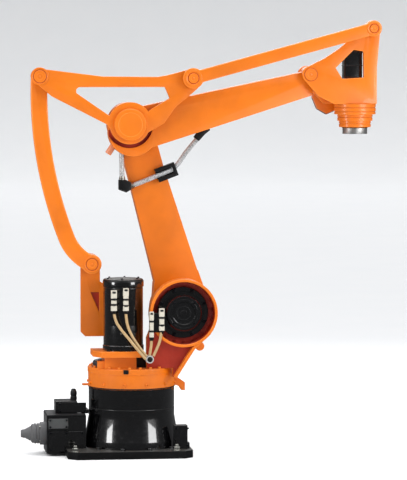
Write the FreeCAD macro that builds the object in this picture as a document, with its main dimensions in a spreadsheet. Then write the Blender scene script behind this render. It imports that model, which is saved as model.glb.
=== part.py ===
import FreeCAD, Part
import math
import os
import re
import Sketcher
from FreeCAD import Placement, Rotation, Vector

# Four-axis palletising robot. Millimetres. +X points forward along the arm, +Z up.
# The origin is on the floor, on the axis about which the carousel turns.
# The arm works in planes of constant Y: each moving piece has its own layer, and -Y is the near side.

# ---------------------------------------------------------------- driving sizes
SIZES = {
    # base
    "plate_front": 365, "plate_rear": 436, "plate_side": 365, "plate_thick": 49, "plate_corner": 55,
    "anchor_inset_front": 105, "anchor_inset_rear": 46, "anchor_inset_side": 45, "anchor_radius": 13.5,
    "foot_radius": 305, "drum_radius": 277, "cone_top": 246, "base_top": 428,
    "bearing_radius": 240, "bearing_height": 3.5, "running_gap": 0.5,
    "box_front": 306, "box_rear": 560, "box_side": 150, "box_top": 262, "box_floor": 14,
    # carousel
    "disc_radius": 280, "disc_top": 564, "pedestal_top": 640, "motor_plate_thick": 38,
    "swing_motor_x": -64, "swing_motor_y": -120, "swing_motor_radius": 132, "swing_motor_top": 1140,
    "shoulder_x": 313, "shoulder_z": 920, "cheek_near": -260, "cheek_radius": 218, "cheek_bore": 200,
    "cheek_floor": -150, "drive_radius": 175, "web_near": -210,
    "shoulder_motor_radius": 117, "motor_foot": 15, "adapter_wall": 32, "adapter_near": -185,
    "bracket_near": 20, "bracket_far": 54,
    # linkage
    "link_length": 1250, "link_lean": 15.5, "arm_length": 1210, "arm_rise": 15.25,
    "lever_rear_x": 576, "lever_rear_z": 308, "lever_front_x": 402, "lever_front_z": 295,
    "layer_gap": 8, "arm_far": 8, "arm_depth": 120, "lever_thick": 40, "top_rod_thick": 40,
    "curved_rod_thick": 52, "link_near": 60, "link_depth": 130, "fit_gap": 0.05, "open_gap": 1, "rod_skin": 9,
    "elbow_shaft_radius": 45, "pivot_pin_radius": 25, "wrist_pin_radius": 30, "rod_pin_radius": 20,
    "lever_hub_radius": 126, "lever_crown_radius": 143, "cap_radius": 103, "cap_height": 30,
    "elbow_gear_radius": 115,
    # link arm
    "link_offset_top": 38, "link_offset_low": 44, "link_half_top": 118, "link_half_low": 148,
    "link_foot_radius": 192, "link_head_radius": 134,
    # upper arm
    "arm_top_rear": 97, "arm_top_front": 26, "arm_low_rear": 186, "arm_low_front": 134,
    "arm_heel_radius": 155, "arm_nose_radius": 50, "groove_inner": 128, "groove_outer": 152,
    "groove_depth": 30,
    # rods
    "curved_rod_width": 105, "rod_eye_radius": 62, "rod_knee_along": 192, "rod_knee_out": 109,
    "rod_belly_out": 118, "top_rod_width": 80, "top_rod_rear_eye": 66, "top_rod_front_eye": 52,
    # wrist
    "wrist_corner": 55, "wrist_reach": 305, "wrist_floor": 190, "wrist_rear_x": 153,
    "wrist_front_x": 430, "wrist_motor_half": 59, "wrist_motor_x": 286, "wrist_motor_top": 190,
    "ring_one_radius": 135, "ring_one_low": 258, "ring_two_radius": 114, "ring_two_low": 300,
    "ring_three_radius": 103, "ring_three_low": 341, "flange_radius": 80, "flange_low": 384,
    "tool_circle": 125, "tool_hole_radius": 4.25, "tool_pilot_radius": 40, "tool_pilot_depth": 8,
}

document = FreeCAD.newDocument("PalletisingRobot")
sheet = document.addObject("Spreadsheet::Sheet", "Sizes")
for row, (alias, value) in enumerate(SIZES.items(), start=1):
    sheet.set(f"A{row}", alias)
    sheet.set(f"B{row}", str(value))
    sheet.setAlias(f"B{row}", alias)
document.recompute()


def size(text):
    """Put the sheet's name before each size in an expression."""
    return re.sub(r"[a-z_]+", lambda word: "Sizes." + word[0] if word[0] in SIZES else word[0], text)


def value_of(text):
    """The number that an expression gives now."""
    result = sheet.evalExpression(size(text))
    return float(getattr(result, "Value", result))


# ---------------------------------------------------------------- places worked out from the sizes
ELBOW_X = "( shoulder_x - link_length * sin( link_lean * 1 deg ) )"
ELBOW_Z = "( shoulder_z + link_length * cos( link_lean * 1 deg ) )"
WRIST_X = f"( {ELBOW_X} + arm_length * cos( arm_rise * 1 deg ) )"
WRIST_Z = f"( {ELBOW_Z} + arm_length * sin( arm_rise * 1 deg ) )"
HEEL_X = "( shoulder_x - lever_rear_x )"
HEEL_Z = "( shoulder_z + lever_rear_z )"
ARM_NEAR = "( arm_far - arm_depth )"
ARM_MIDDLE = "( arm_far - arm_depth / 2 )"
LEVER_FAR = f"( {ARM_NEAR} - layer_gap )"
LEVER_NEAR = f"( {LEVER_FAR} - lever_thick )"
TOP_ROD_FAR = f"( {LEVER_NEAR} - layer_gap )"
TOP_ROD_NEAR = f"( {TOP_ROD_FAR} - top_rod_thick )"
CURVED_ROD_NEAR = f"( {LEVER_FAR} + layer_gap )"
CURVED_ROD_FAR = f"( {CURVED_ROD_NEAR} + curved_rod_thick )"
BOSS_NEAR = f"( {CURVED_ROD_FAR} + layer_gap )"
WRIST_FAR_NEAR = "( arm_far + layer_gap )"
WRIST_FAR_FAR = f"( {WRIST_FAR_NEAR} + lever_thick )"
PIN_IN_ROD_NEAR = f"( {CURVED_ROD_NEAR} + rod_skin + 2 )"
PIN_IN_ROD_FAR = f"( {CURVED_ROD_FAR} - rod_skin - 2 )"
PIN_IN_TOP_ROD = f"( {TOP_ROD_NEAR} + rod_skin + 2 )"
WRIST_PIN_NEAR = f"( {LEVER_NEAR} + rod_skin + 2 )"
WRIST_PIN_FAR = f"( {WRIST_FAR_FAR} - rod_skin - 2 )"
DISC_FLOOR = "( base_top + bearing_height + running_gap )"
MOTOR_SEAT = "( pedestal_top + motor_plate_thick )"

sub_parts = []
cuts = []


# ---------------------------------------------------------------- ways of making a body
def new_body(label, x="0", y="0", z="0", turn=None):
    """An empty body whose own origin is at x, y, z; turn is its rotation about +Y, in degrees."""
    body = document.addObject("PartDesign::Body", label)
    body.Label = label
    if turn is not None:
        body.Placement = Placement(Vector(), Rotation(Vector(0, 1, 0), value_of(turn)))
        body.setExpression("Placement.Rotation.Angle", f"( {size(turn)} ) * 1 deg")
    for axis, place in zip("xyz", (x, y, z)):
        body.setExpression(f"Placement.Base.{axis}", size(place))
    sub_parts.append(body)
    return body


def new_sketch(body, role, offset):
    """A sketch on one of the body's own origin planes, moved along that plane's normal."""
    sketch = body.newObject("Sketcher::SketchObject", body.Label + "_outline")
    plane = [item for item in body.Origin.OriginFeatures if item.Role == role][0]
    sketch.AttachmentSupport = [(plane, "")]
    sketch.MapMode = "FlatFace"
    sketch.setExpression("AttachmentOffset.Base.z", size(offset))
    return sketch


def bind(sketch, constraint, text):
    index = sketch.addConstraint(constraint)
    sketch.setExpression(f"Constraints[{index}]", size(text))


def draw_polygon(sketch, corners):
    """A closed outline of straight edges through corners given as pairs of expressions."""
    points = [Vector(value_of(x), value_of(y), 0) for x, y in corners]
    first = sketch.GeometryCount
    count = len(points)
    for index, point in enumerate(points):
        sketch.addGeometry(Part.LineSegment(point, points[(index + 1) % count]), False)
    for index, (x, y) in enumerate(corners):
        this, after = first + index, first + (index + 1) % count
        sketch.addConstraint(Sketcher.Constraint("Coincident", this, 2, after, 1))
        bind(sketch, Sketcher.Constraint("DistanceX", -1, 1, this, 1, points[index].x), x)
        bind(sketch, Sketcher.Constraint("DistanceY", -1, 1, this, 1, points[index].y), y)


def draw_circle(sketch, x, y, radius):
    centre = Vector(value_of(x), value_of(y), 0)
    edge = sketch.addGeometry(Part.Circle(centre, Vector(0, 0, 1), value_of(radius)), False)
    bind(sketch, Sketcher.Constraint("Radius", edge, value_of(radius)), radius)
    bind(sketch, Sketcher.Constraint("DistanceX", -1, 1, edge, 3, centre.x), x)
    bind(sketch, Sketcher.Constraint("DistanceY", -1, 1, edge, 3, centre.y), y)


def draw_half_disc(sketch, radius):
    """The upper half of a disc about the sketch's own origin."""
    reach = value_of(radius)
    round_edge = Part.ArcOfCircle(Part.Circle(Vector(), Vector(0, 0, 1), reach), 0, math.pi)
    arc = sketch.addGeometry(round_edge, False)
    line = sketch.addGeometry(Part.LineSegment(Vector(-reach, 0, 0), Vector(reach, 0, 0)), False)
    sketch.addConstraint(Sketcher.Constraint("Coincident", arc, 2, line, 1))
    sketch.addConstraint(Sketcher.Constraint("Coincident", arc, 1, line, 2))
    sketch.addConstraint(Sketcher.Constraint("Coincident", arc, 3, -1, 1))
    sketch.addConstraint(Sketcher.Constraint("Horizontal", line))
    bind(sketch, Sketcher.Constraint("Radius", arc, reach), radius)


def add_pad(body, sketch, length):
    pad = body.newObject("PartDesign::Pad", body.Label + "_pad")
    pad.Profile = sketch
    pad.setExpression("Length", size(length))
    return pad


def add_cut(body, sketch, depth):
    """Cut from the sketch against its normal."""
    before = body.Tip
    pocket = body.newObject("PartDesign::Pocket", body.Label + "_cut")
    pocket.Profile = sketch
    pocket.setExpression("Length", size(depth))
    cuts.append((before, pocket))
    return pocket


def side_plate(body, corners, far, near):
    """A plate in a plane of constant Y, from far to near."""
    sketch = new_sketch(body, "XZ_Plane", f"0 - ( {far} )")
    draw_polygon(sketch, corners)
    return add_pad(body, sketch, f"( {far} ) - ( {near} )")


def side_disc(body, x, z, radius, far, near, bore=None):
    """A round boss along Y, from far to near."""
    sketch = new_sketch(body, "XZ_Plane", f"0 - ( {far} )")
    draw_circle(sketch, x, z, radius)
    if bore:
        draw_circle(sketch, x, z, bore)
    return add_pad(body, sketch, f"( {far} ) - ( {near} )")


def side_bore(body, x, z, radius, far, near):
    """A round hole along Y, opening at near and ending at far."""
    sketch = new_sketch(body, "XZ_Plane", f"0 - ( {near} )")
    draw_circle(sketch, x, z, radius)
    return add_cut(body, sketch, f"( {far} ) - ( {near} )")


def side_window(body, corners, far, near):
    sketch = new_sketch(body, "XZ_Plane", f"0 - ( {near} )")
    draw_polygon(sketch, corners)
    return add_cut(body, sketch, f"( {far} ) - ( {near} )")


def upright_disc(body, x, y, radius, low, high, bore=None):
    """A round boss along Z, from low to high."""
    sketch = new_sketch(body, "XY_Plane", low)
    draw_circle(sketch, x, y, radius)
    if bore:
        draw_circle(sketch, x, y, bore)
    return add_pad(body, sketch, f"( {high} ) - ( {low} )")


def upright_block(body, rear, front, near, far, low, high):
    sketch = new_sketch(body, "XY_Plane", low)
    draw_polygon(sketch, [(rear, near), (front, near), (front, far), (rear, far)])
    return add_pad(body, sketch, f"( {high} ) - ( {low} )")


def upright_bore(body, places, radius, low, high):
    """Round holes along Z at the given places, from high down to low."""
    sketch = new_sketch(body, "XY_Plane", high)
    for x, y in places:
        draw_circle(sketch, x, y, radius)
    return add_cut(body, sketch, f"( {high} ) - ( {low} )")


def turned(body, corners, role="XZ_Plane", axis="V_Axis"):
    """A revolved solid: corners are pairs of radius and height."""
    sketch = new_sketch(body, role, "0")
    draw_polygon(sketch, corners)
    revolution = body.newObject("PartDesign::Revolution", body.Label + "_turned")
    revolution.Profile = sketch
    revolution.ReferenceAxis = (sketch, [axis])
    revolution.Angle = 360
    return revolution


# ---------------------------------------------------------------- base
def make_base_plate():
    body = new_body("base_plate")
    sketch = new_sketch(body, "XY_Plane", "0")
    rear, side, cut = "0 - plate_rear", "plate_side", "plate_corner"
    draw_polygon(sketch, [
        (rear, f"{cut} - {side}"), (f"{rear} + {cut}", f"0 - {side}"),
        (f"plate_front - {cut}", f"0 - {side}"), ("plate_front", f"{cut} - {side}"),
        ("plate_front", f"{side} - {cut}"), (f"plate_front - {cut}", side),
        (f"{rear} + {cut}", side), (rear, f"{side} - {cut}")])
    for x in ("anchor_inset_rear - plate_rear", "plate_front - anchor_inset_front"):
        for y in ("anchor_inset_side - plate_side", "plate_side - anchor_inset_side"):
            draw_circle(sketch, x, y, "anchor_radius")
    add_pad(body, sketch, "plate_thick")


def make_base_column():
    """The cast column: a spreading foot, a straight drum and the bearing seat on top."""
    body = new_body("base_column")
    turned(body, [
        ("0", "plate_thick"), ("foot_radius", "plate_thick"), ("foot_radius", "plate_thick + 46"),
        ("drum_radius", "cone_top"), ("drum_radius", "base_top"),
        ("bearing_radius", "base_top"), ("bearing_radius", "base_top + bearing_height"),
        ("0", "base_top + bearing_height")])


def make_connector_box():
    """The rear junction housing, standing on the plate and hanging a little over its rear edge."""
    body = new_body("connector_box")
    upright_block(body, "0 - box_rear", "0 - box_front", "0 - box_side", "box_side",
                  "plate_thick", "box_top")
    overhang = "0 - plate_rear - 4"
    upright_block(body, "0 - box_rear", overhang, "0 - box_side", "box_side", "box_floor", "plate_thick")
    face = new_sketch(body, "XZ_Plane", "box_side")
    draw_polygon(face, [("10 - box_rear", "162"), ("-425", "162"), ("-425", "226"), ("10 - box_rear", "226")])
    add_pad(body, face, "10")


def make_upper_box():
    body = new_body("upper_box")
    upright_block(body, "-497", "-357", "-75", "75", "box_top", "box_top + 84")
    upright_block(body, "-330", "-281", "-60", "60", "box_top", "box_top + 26")


def make_cable_gland():
    body = new_body("cable_gland")
    upright_disc(body, "-375", "0", "22", "box_top + 84", "box_top + 110")
    upright_disc(body, "-375", "0", "15", "box_top + 110", "box_top + 156")


def make_supply_plug():
    """The power plug: a collar on the box, a stepped body and a tapering boot."""
    body = new_body("supply_plug", "0 - box_rear", "-20", "134", "-90")
    turned(body, [("0", "0"), ("74", "0"), ("74", "34"), ("62", "34"), ("62", "86"), ("44", "96"),
                  ("24", "150"), ("24", "158"), ("0", "158")])


def make_side_block():
    """The block beside the column, on the front of the plate."""
    body = new_body("side_block")
    upright_block(body, "250", "338", "-250", "-184", "plate_thick", "200")
    upright_block(body, "338", "352", "-240", "-194", "plate_thick", "plate_thick + 40")


# ---------------------------------------------------------------- carousel
def make_turntable():
    """The turning disc with what is cast on it: a pedestal, two cable glands and two stop lugs."""
    body = new_body("turntable")
    upright_disc(body, "0", "0", "disc_radius", DISC_FLOOR, "disc_top")
    upright_block(body, "-190", "12", "-205", "8", "disc_top", "pedestal_top")
    # The stop lugs reach out under the disc's rim, the front one sloping down past the base column.
    side_plate(body, [("262", "436"), ("286", "436"), ("306", "428"), ("322", "402"), ("345", "402"),
                      ("345", "452"), ("296", "486"), ("262", "486")], "30", "-30")
    upright_block(body, "-318", "-262", "-20", "20", "440", "452")
    # A cable gland stands at each end of the conduit round the back of the pedestal.
    upright_block(body, "-150", "-112", "128", "174", "disc_top", "disc_top + 48")
    upright_block(body, "-236", "-190", "-184", "-150", "disc_top", "disc_top + 48")


def make_motor_plate():
    body = new_body("motor_plate")
    sketch = new_sketch(body, "XY_Plane", "pedestal_top")
    draw_polygon(sketch, [("-265", "-170"), ("-215", "-262"), ("30", "-262"), ("52", "-240"),
                          ("52", "14"), ("-265", "14")])
    add_pad(body, sketch, "motor_plate_thick")


def make_swing_motor():
    """The upright servomotor that turns the carousel: a flanged foot, a drum and a stepped cap."""
    body = new_body("swing_motor", "swing_motor_x", "swing_motor_y")
    radius, top = "swing_motor_radius", "swing_motor_top"
    turned(body, [("0", MOTOR_SEAT), (radius, MOTOR_SEAT), (radius, f"{MOTOR_SEAT} + 34"),
                  (f"{radius} - 5", f"{MOTOR_SEAT} + 40"), (f"{radius} - 5", f"{top} - 60"),
                  (radius, f"{top} - 52"), (radius, f"{top} - 8"), (f"{radius} - 8", top), ("0", top)])


def make_carousel_frame():
    """The near wall of the carousel: a web that rises from the turntable to the shoulder housing."""
    body = new_body("carousel_frame")
    rim_x = "shoulder_x + cheek_radius * 0.98"
    side_plate(body, [
        ("78", "disc_top"), ("246", "disc_top"), ("246", "506"), ("268", "506"),
        ("384", "690"), ("484", "782"), (rim_x, "shoulder_z - 40"),
        ("shoulder_x", "shoulder_z"), ("118", "shoulder_z - 60"), ("78", "760")],
        "cheek_floor", "web_near")
    side_disc(body, "shoulder_x", "shoulder_z", "cheek_radius", "cheek_floor", "cheek_near")
    side_disc(body, "shoulder_x", "shoulder_z", "drive_radius", "link_near - running_gap", "cheek_floor")
    # The lip along the web's front edge, standing out as far as the housing's rim.
    side_plate(body, [
        ("268", "506"), ("384", "690"), ("484", "782"), (rim_x, "shoulder_z - 40"),
        (f"{rim_x} - 22", "shoulder_z - 50"), ("468", "796"), ("368", "700"), ("250", "514")],
        "web_near", "cheek_near")
    side_bore(body, "shoulder_x", "shoulder_z", "cheek_bore", "cheek_floor - 8", "cheek_near")


def make_motor_adapter():
    """The ring that carries the shoulder motor on the floor of its housing."""
    body = new_body("motor_adapter")
    bore = "shoulder_motor_radius + motor_foot + 1"
    side_disc(body, "shoulder_x", "shoulder_z", f"{bore} + adapter_wall", "cheek_floor - 8",
              "adapter_near", bore)


def make_shoulder_motor():
    body = new_body("shoulder_motor", "shoulder_x", "cheek_floor - 8", "shoulder_z")
    radius = "shoulder_motor_radius"
    length = "( cheek_floor - 8 - cheek_near )"
    foot = f"{radius} + motor_foot"
    turned(body, [("0", "0"), (foot, "0"), (foot, "-22"), (radius, "-26"), (radius, f"12 - {length}"),
                  (f"{radius} - 12", f"0 - {length}"), ("74", f"0 - {length}"), ("70", f"9 - {length}"),
                  ("0", f"9 - {length}")], "XY_Plane")


def plug(body, left, right, low, high, far, near):
    """An upright cable plug: a narrow block."""
    side_plate(body, [(left, low), (right, low), (right, high), (left, high)], far, near)


def make_swing_motor_plugs():
    """Two plugs on the round side of the swing motor, hollowed to sit against it."""
    body = new_body("swing_motor_plugs")
    sketch = new_sketch(body, "XZ_Plane", "50 - swing_motor_y")
    for left, right in (("-161", "-113"), ("-83", "-39")):
        draw_polygon(sketch, [(left, "941"), (right, "941"), (right, "1087"), (left, "1087")])
    add_pad(body, sketch, "110")
    upright_bore(body, [("swing_motor_x", "swing_motor_y")], "swing_motor_radius + 0.3", "900", "1200")


def make_shoulder_motor_plugs():
    """Two plugs beside the shoulder motor: one on the housing's rim, one on the adapter ring."""
    body = new_body("shoulder_motor_rim_plug")
    plug(body, "88", "117", "769", "935", "cheek_near", "cheek_near - 36")
    body = new_body("shoulder_motor_ring_plug")
    plug(body, "150", "186", "812", "955", "adapter_near", "cheek_near - 30")


def make_conduit_mouth():
    """The short sleeve on the carousel's wall that all the motor cables run into."""
    body = new_body("conduit_mouth")
    side_disc(body, "92", "628", "25", "web_near", "web_near - 72")


def make_rod_bracket():
    """The bracket at the back of the carousel that carries the curved rod's lower pivot."""
    body = new_body("rod_bracket")
    left, right = f"{HEEL_X} - rod_eye_radius", f"{HEEL_X} + rod_eye_radius"
    side_plate(body, [
        ("-176", "disc_top"), ("0", "disc_top"), ("0", "930"), ("-110", "1040"), (right, "1110"),
        (right, HEEL_Z), (left, HEEL_Z), (left, "782"), (f"{left} + 28", "754"), ("-176", "754")],
        "bracket_far", "bracket_near")
    side_disc(body, HEEL_X, HEEL_Z, "rod_eye_radius", "bracket_far", BOSS_NEAR)
    side_bore(body, HEEL_X, HEEL_Z, "pivot_pin_radius", "bracket_far", BOSS_NEAR)
    side_window(body, [("-206", "908"), ("-206", "1040"), (f"{left} + 62", "1040")],
                "bracket_far", "bracket_near")


def make_carousel_stop(label, x, y, z, length, turn):
    body = new_body(label, x, y, z, turn)
    sketch = new_sketch(body, "XY_Plane", "0")
    draw_circle(sketch, "0", "0", "19")
    add_pad(body, sketch, length)


def make_pin(label, x, z, radius, far, near):
    """A pivot pin along Y."""
    body = new_body(label)
    side_disc(body, x, z, radius, far, near)


# ---------------------------------------------------------------- link arm
def make_link_arm():
    body = new_body("link_arm", "shoulder_x", "0", "shoulder_z", "0 - link_lean")
    far, near = "( link_near + link_depth )", "link_near"
    low_left, low_right = "link_offset_low - link_half_low", "link_offset_low + link_half_low"
    top_left, top_right = "link_offset_top - link_half_top", "link_offset_top + link_half_top"
    side_plate(body, [
        (low_left, "120"), (low_right, "120"), (f"{low_right} - 8", "330"),
        (top_right, "link_length - 330"), (top_right, "link_length - 40"),
        (top_left, "link_length - 40"), (top_left, "link_length - 330"), (f"{low_left} + 8", "330")],
        far, near)
    side_disc(body, "14", "0", "link_foot_radius", far, near)
    side_disc(body, "16", "link_length", "link_head_radius", far, near)
    side_plate(body, [("-178", "0"), ("206", "0"), (low_right, "210"), (low_left, "210")], far, near)
    side_bore(body, "0", "link_length", "elbow_shaft_radius", far, near)


def make_elbow_gear():
    """The gear housing between the link arm and the upper arm."""
    body = new_body("elbow_gear")
    side_disc(body, ELBOW_X, ELBOW_Z, "elbow_gear_radius", "link_near", "arm_far + running_gap",
              "elbow_shaft_radius")


def make_elbow_shaft():
    body = new_body("elbow_shaft")
    side_disc(body, ELBOW_X, ELBOW_Z, "elbow_shaft_radius", "link_near + link_depth", f"{LEVER_NEAR} + 2")


def make_elbow_motor():
    """The servomotor on the far side of the link arm that drives the upper arm."""
    body = new_body("elbow_motor", ELBOW_X, "link_near + link_depth", ELBOW_Z)
    turned(body, [("0", "0"), ("88", "0"), ("88", "26"), ("72", "34"), ("72", "210"), ("60", "222"),
                  ("0", "222")], "XY_Plane")


def make_elbow_stop():
    body = new_body("elbow_stop", ELBOW_X, "link_near - 24", ELBOW_Z, "-147")
    sketch = new_sketch(body, "XY_Plane", "elbow_gear_radius + 0.3")
    draw_circle(sketch, "0", "0", "21")
    add_pad(body, sketch, "115")


# ---------------------------------------------------------------- lever
def make_lever():
    """The three-cornered lever at the elbow: two bars and a leg around one opening."""
    body = new_body("lever", ELBOW_X, "0", ELBOW_Z)
    rear_x, rear_z, front_x, front_z = "lever_rear_x", "lever_rear_z", "lever_front_x", "lever_front_z"
    far, near = LEVER_FAR, LEVER_NEAR
    side_plate(body, [
        (f"0 - {rear_x} + 8", f"{rear_z} + 48"), (f"0 - {rear_x} + 220", f"{rear_z} + 21"),
        ("-174", f"{rear_z} - 1"), ("180", f"{front_z} + 9"), (f"{front_x} - 157", f"{front_z} + 21"),
        (f"{front_x} - 40", f"{front_z} + 52"), (f"{front_x} + 58", f"{front_z} - 10"),
        (f"{front_x} + 36", f"{front_z} - 62"), (f"{front_x} - 8", f"{front_z} - 101"),
        (f"{front_x} - 111", f"{front_z} - 185"), ("219", "8"), ("100", "-60"), ("-90", "-80"),
        ("-144", "-1"), (f"77 - {rear_x}", f"{rear_z} - 128"), (f"0 - {rear_x} - 30", f"{rear_z} - 38")],
        far, near)
    side_window(body, [
        (f"232 - {rear_x}", f"{rear_z} - 82"), (f"232 - {rear_x}", f"{rear_z} - 106"),
        ("-120", "48"), ("100", "60"), ("128", "93"), (f"{front_x} - 147", f"{front_z} - 127"),
        (f"{front_x} - 178", f"{front_z} - 56"), (f"248 - {rear_x}", f"{rear_z} - 69")], far, near)
    side_disc(body, "0", "0", "lever_hub_radius", far, near)
    crown = new_sketch(body, "XZ_Plane", f"0 - ( {far} )")
    draw_half_disc(crown, "lever_crown_radius")
    add_pad(body, crown, "lever_thick")
    side_disc(body, f"0 - {rear_x}", rear_z, "49", far, near)
    side_disc(body, front_x, front_z, "60", far, near)
    side_disc(body, "0", "0", "70", f"{ARM_NEAR} - running_gap", far)
    side_bore(body, "0", "0", "elbow_shaft_radius + fit_gap", f"{ARM_NEAR} - running_gap", near)
    side_bore(body, f"0 - {rear_x}", rear_z, "pivot_pin_radius", far, near)
    side_bore(body, front_x, front_z, "rod_pin_radius", far, near)


def make_lever_cap():
    body = new_body("lever_cap")
    side_disc(body, ELBOW_X, ELBOW_Z, "cap_radius", LEVER_NEAR, f"{LEVER_NEAR} - cap_height")


# ---------------------------------------------------------------- upper arm
def make_upper_arm():
    body = new_body("upper_arm", ELBOW_X, "0", ELBOW_Z, "0 - arm_rise")
    far, near = "arm_far", ARM_NEAR
    side_plate(body, [
        ("0", "arm_top_rear"), ("arm_length - 30", "arm_top_front"), ("arm_length", "0"),
        ("arm_length - 15", "0 - arm_low_front"), ("0", "0 - arm_low_rear")], far, near)
    side_disc(body, "9", "-54", "arm_heel_radius", far, near)
    side_disc(body, "0", "0", "lever_crown_radius - 4", far, near)
    side_disc(body, "arm_length", "0", "arm_nose_radius", far, near)
    side_bore(body, "0", "0", "elbow_shaft_radius + fit_gap", far, near)
    side_bore(body, "arm_length", "0", "wrist_pin_radius", far, near)
    groove_sketch = new_sketch(body, "XY_Plane", "0")
    floor = f"{near} + groove_depth"
    draw_polygon(groove_sketch, [("groove_inner", near), ("groove_outer", near), ("groove_outer", floor),
                                 ("groove_inner", floor)])
    before = body.Tip
    groove = body.newObject("PartDesign::Groove", "upper_arm_groove")
    groove.Profile = groove_sketch
    groove.ReferenceAxis = (groove_sketch, ["V_Axis"])
    groove.Angle = 180
    cuts.append((before, groove))


# ---------------------------------------------------------------- rods
def arc_edge(start, middle, end):
    return Part.Arc(start, middle, end).toShape()


def make_curved_rod():
    """The bent rear rod: a short sharp arc above its lower eye, then one long gentle arc."""
    length, half = value_of("link_length"), value_of("curved_rod_width") / 2
    knee = Vector(value_of("rod_knee_out"), 0, value_of("rod_knee_along"))
    belly = Vector(value_of("rod_belly_out"), 0, length * 0.5)
    top = Vector(0, 0, length)
    low_middle = Vector(knee.x * 0.62, 0, knee.z * 0.41)
    low_arc = Part.Arc(Vector(), low_middle, knee)
    high_arc = Part.Arc(knee, belly, top)

    def offset(arc, side):
        """The arc moved sideways by half the rod's width."""
        edge = arc.toShape()
        points = []
        for share in (0, 0.5, 1):
            here = edge.valueAt(edge.FirstParameter + (edge.LastParameter - edge.FirstParameter) * share)
            outward = (here - edge.Curve.Center).normalize()
            points.append(here + outward * (half * side))
        return points

    def band(arc):
        outer, inner = offset(arc, 1), offset(arc, -1)
        edges = [arc_edge(*outer), Part.makeLine(outer[2], inner[2]),
                 arc_edge(inner[2], inner[1], inner[0]), Part.makeLine(inner[0], outer[0])]
        return Part.Face(Part.Wire(edges))

    thick, radius = value_of("curved_rod_thick"), value_of("rod_eye_radius")
    along = Vector(0, 1, 0)
    solid = band(low_arc).fuse(band(high_arc)).extrude(along * thick)
    for centre, eye_radius in ((Vector(), radius), (top, radius - 8)):
        solid = solid.fuse(Part.makeCylinder(eye_radius, thick, centre, along))
    knee_round = Part.makeCylinder(half, thick, knee, along)
    solid = solid.fuse(knee_round)
    # Each eye has a blind bore: the lower one opens on the far face, the upper one on the near face.
    skin = value_of("rod_skin")
    low_bore = Part.makeCylinder(value_of("pivot_pin_radius + fit_gap"), thick - skin, Vector(), along)
    high_bore = Part.makeCylinder(value_of("pivot_pin_radius + open_gap"), thick - skin,
                                  top + along * skin, along)
    solid = solid.cut(low_bore).cut(high_bore)
    feature = document.addObject("Part::Feature", "curved_rod")
    feature.Label = "curved_rod"
    feature.Shape = solid.removeSplitter()
    place = Vector(value_of(HEEL_X), value_of(CURVED_ROD_NEAR), value_of(HEEL_Z))
    # Turned half round first, so that the belly faces the robot's rear.
    feature.Placement = Placement(place, Rotation(Vector(0, 1, 0), -value_of("link_lean"))).multiply(
        Placement(Vector(0, thick, 0), Rotation(Vector(0, 0, 1), 180)))
    sub_parts.append(feature)


def make_top_rod():
    """The straight bar from the lever to the wrist, parallel to the upper arm."""
    body = new_body("top_rod", f"{ELBOW_X} + lever_front_x", "0", f"{ELBOW_Z} + lever_front_z",
                    "0 - arm_rise")
    half = "top_rod_width / 2"
    side_plate(body, [("0", f"0 - {half}"), ("arm_length", f"0 - {half}"), ("arm_length", half), ("0", half)],
               TOP_ROD_FAR, TOP_ROD_NEAR)
    side_disc(body, "0", "0", "top_rod_rear_eye", TOP_ROD_FAR, TOP_ROD_NEAR)
    side_disc(body, "arm_length", "0", "top_rod_front_eye", TOP_ROD_FAR, TOP_ROD_NEAR)
    floor = f"{TOP_ROD_NEAR} + rod_skin"
    side_bore(body, "0", "0", "rod_pin_radius + fit_gap", TOP_ROD_FAR, floor)
    side_bore(body, "arm_length", "0", "rod_pin_radius + open_gap", TOP_ROD_FAR, floor)


# ---------------------------------------------------------------- wrist
def make_wrist_plate():
    """The near wall of the wrist, with its window, rising to the top rod's pivot."""
    body = new_body("wrist_plate", WRIST_X, "0", WRIST_Z)
    far, near = LEVER_FAR, LEVER_NEAR
    floor = "0 - wrist_floor"
    side_plate(body, [
        ("-25", "48"), ("90", "104"), ("184", "166"), ("lever_front_x - 40", "lever_front_z + 30"),
        ("lever_front_x + 50", "lever_front_z - 8"), ("446", "226"), ("wrist_front_x", "45"),
        ("wrist_front_x", floor), ("wrist_rear_x", floor), ("48", "-139"), ("-38", "-38")], far, near)
    side_window(body, [("161", "42"), ("205", "-28"), ("346", "-20"), ("342", "148"), ("278", "158")],
                far, near)
    side_disc(body, "0", "0", "wrist_corner", far, near)
    side_disc(body, "lever_front_x", "lever_front_z", "top_rod_front_eye", far, near)
    side_bore(body, "0", "0", "wrist_pin_radius + fit_gap", far, f"{near} + rod_skin")
    side_bore(body, "lever_front_x", "lever_front_z", "rod_pin_radius", far, near)


def make_wrist_block():
    """The floor of the wrist, between its two walls, over the gear rings."""
    body = new_body("wrist_block", WRIST_X, "0", WRIST_Z)
    floor = "0 - wrist_floor"
    side_plate(body, [("160", floor), ("wrist_front_x", floor), ("wrist_front_x", "-70"), ("160", "-70")],
               WRIST_FAR_NEAR, LEVER_FAR)


def make_wrist_far_plate():
    body = new_body("wrist_far_plate", WRIST_X, "0", WRIST_Z)
    far, near = WRIST_FAR_FAR, WRIST_FAR_NEAR
    floor = "0 - wrist_floor"
    side_plate(body, [("0", "54"), ("150", "-30"), ("wrist_front_x", "-40"), ("wrist_front_x", floor),
                      ("110", floor), ("-30", "-44")], far, near)
    side_disc(body, "0", "0", "wrist_corner", far, near)
    side_bore(body, "0", "0", "wrist_pin_radius + fit_gap", f"{far} - rod_skin", near)


def make_wrist_side_cover():
    """The round-bottomed cover on the wrist's far wall."""
    body = new_body("wrist_side_cover", WRIST_X, "0", WRIST_Z)
    near = WRIST_FAR_FAR
    side_plate(body, [("70", "-70"), ("350", "-70"), ("350", "-184"), ("218", "-188"), ("196", "-236"),
                      ("135", "-262"), ("72", "-226"), ("40", "-150")], f"{near} + 36", near)


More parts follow.
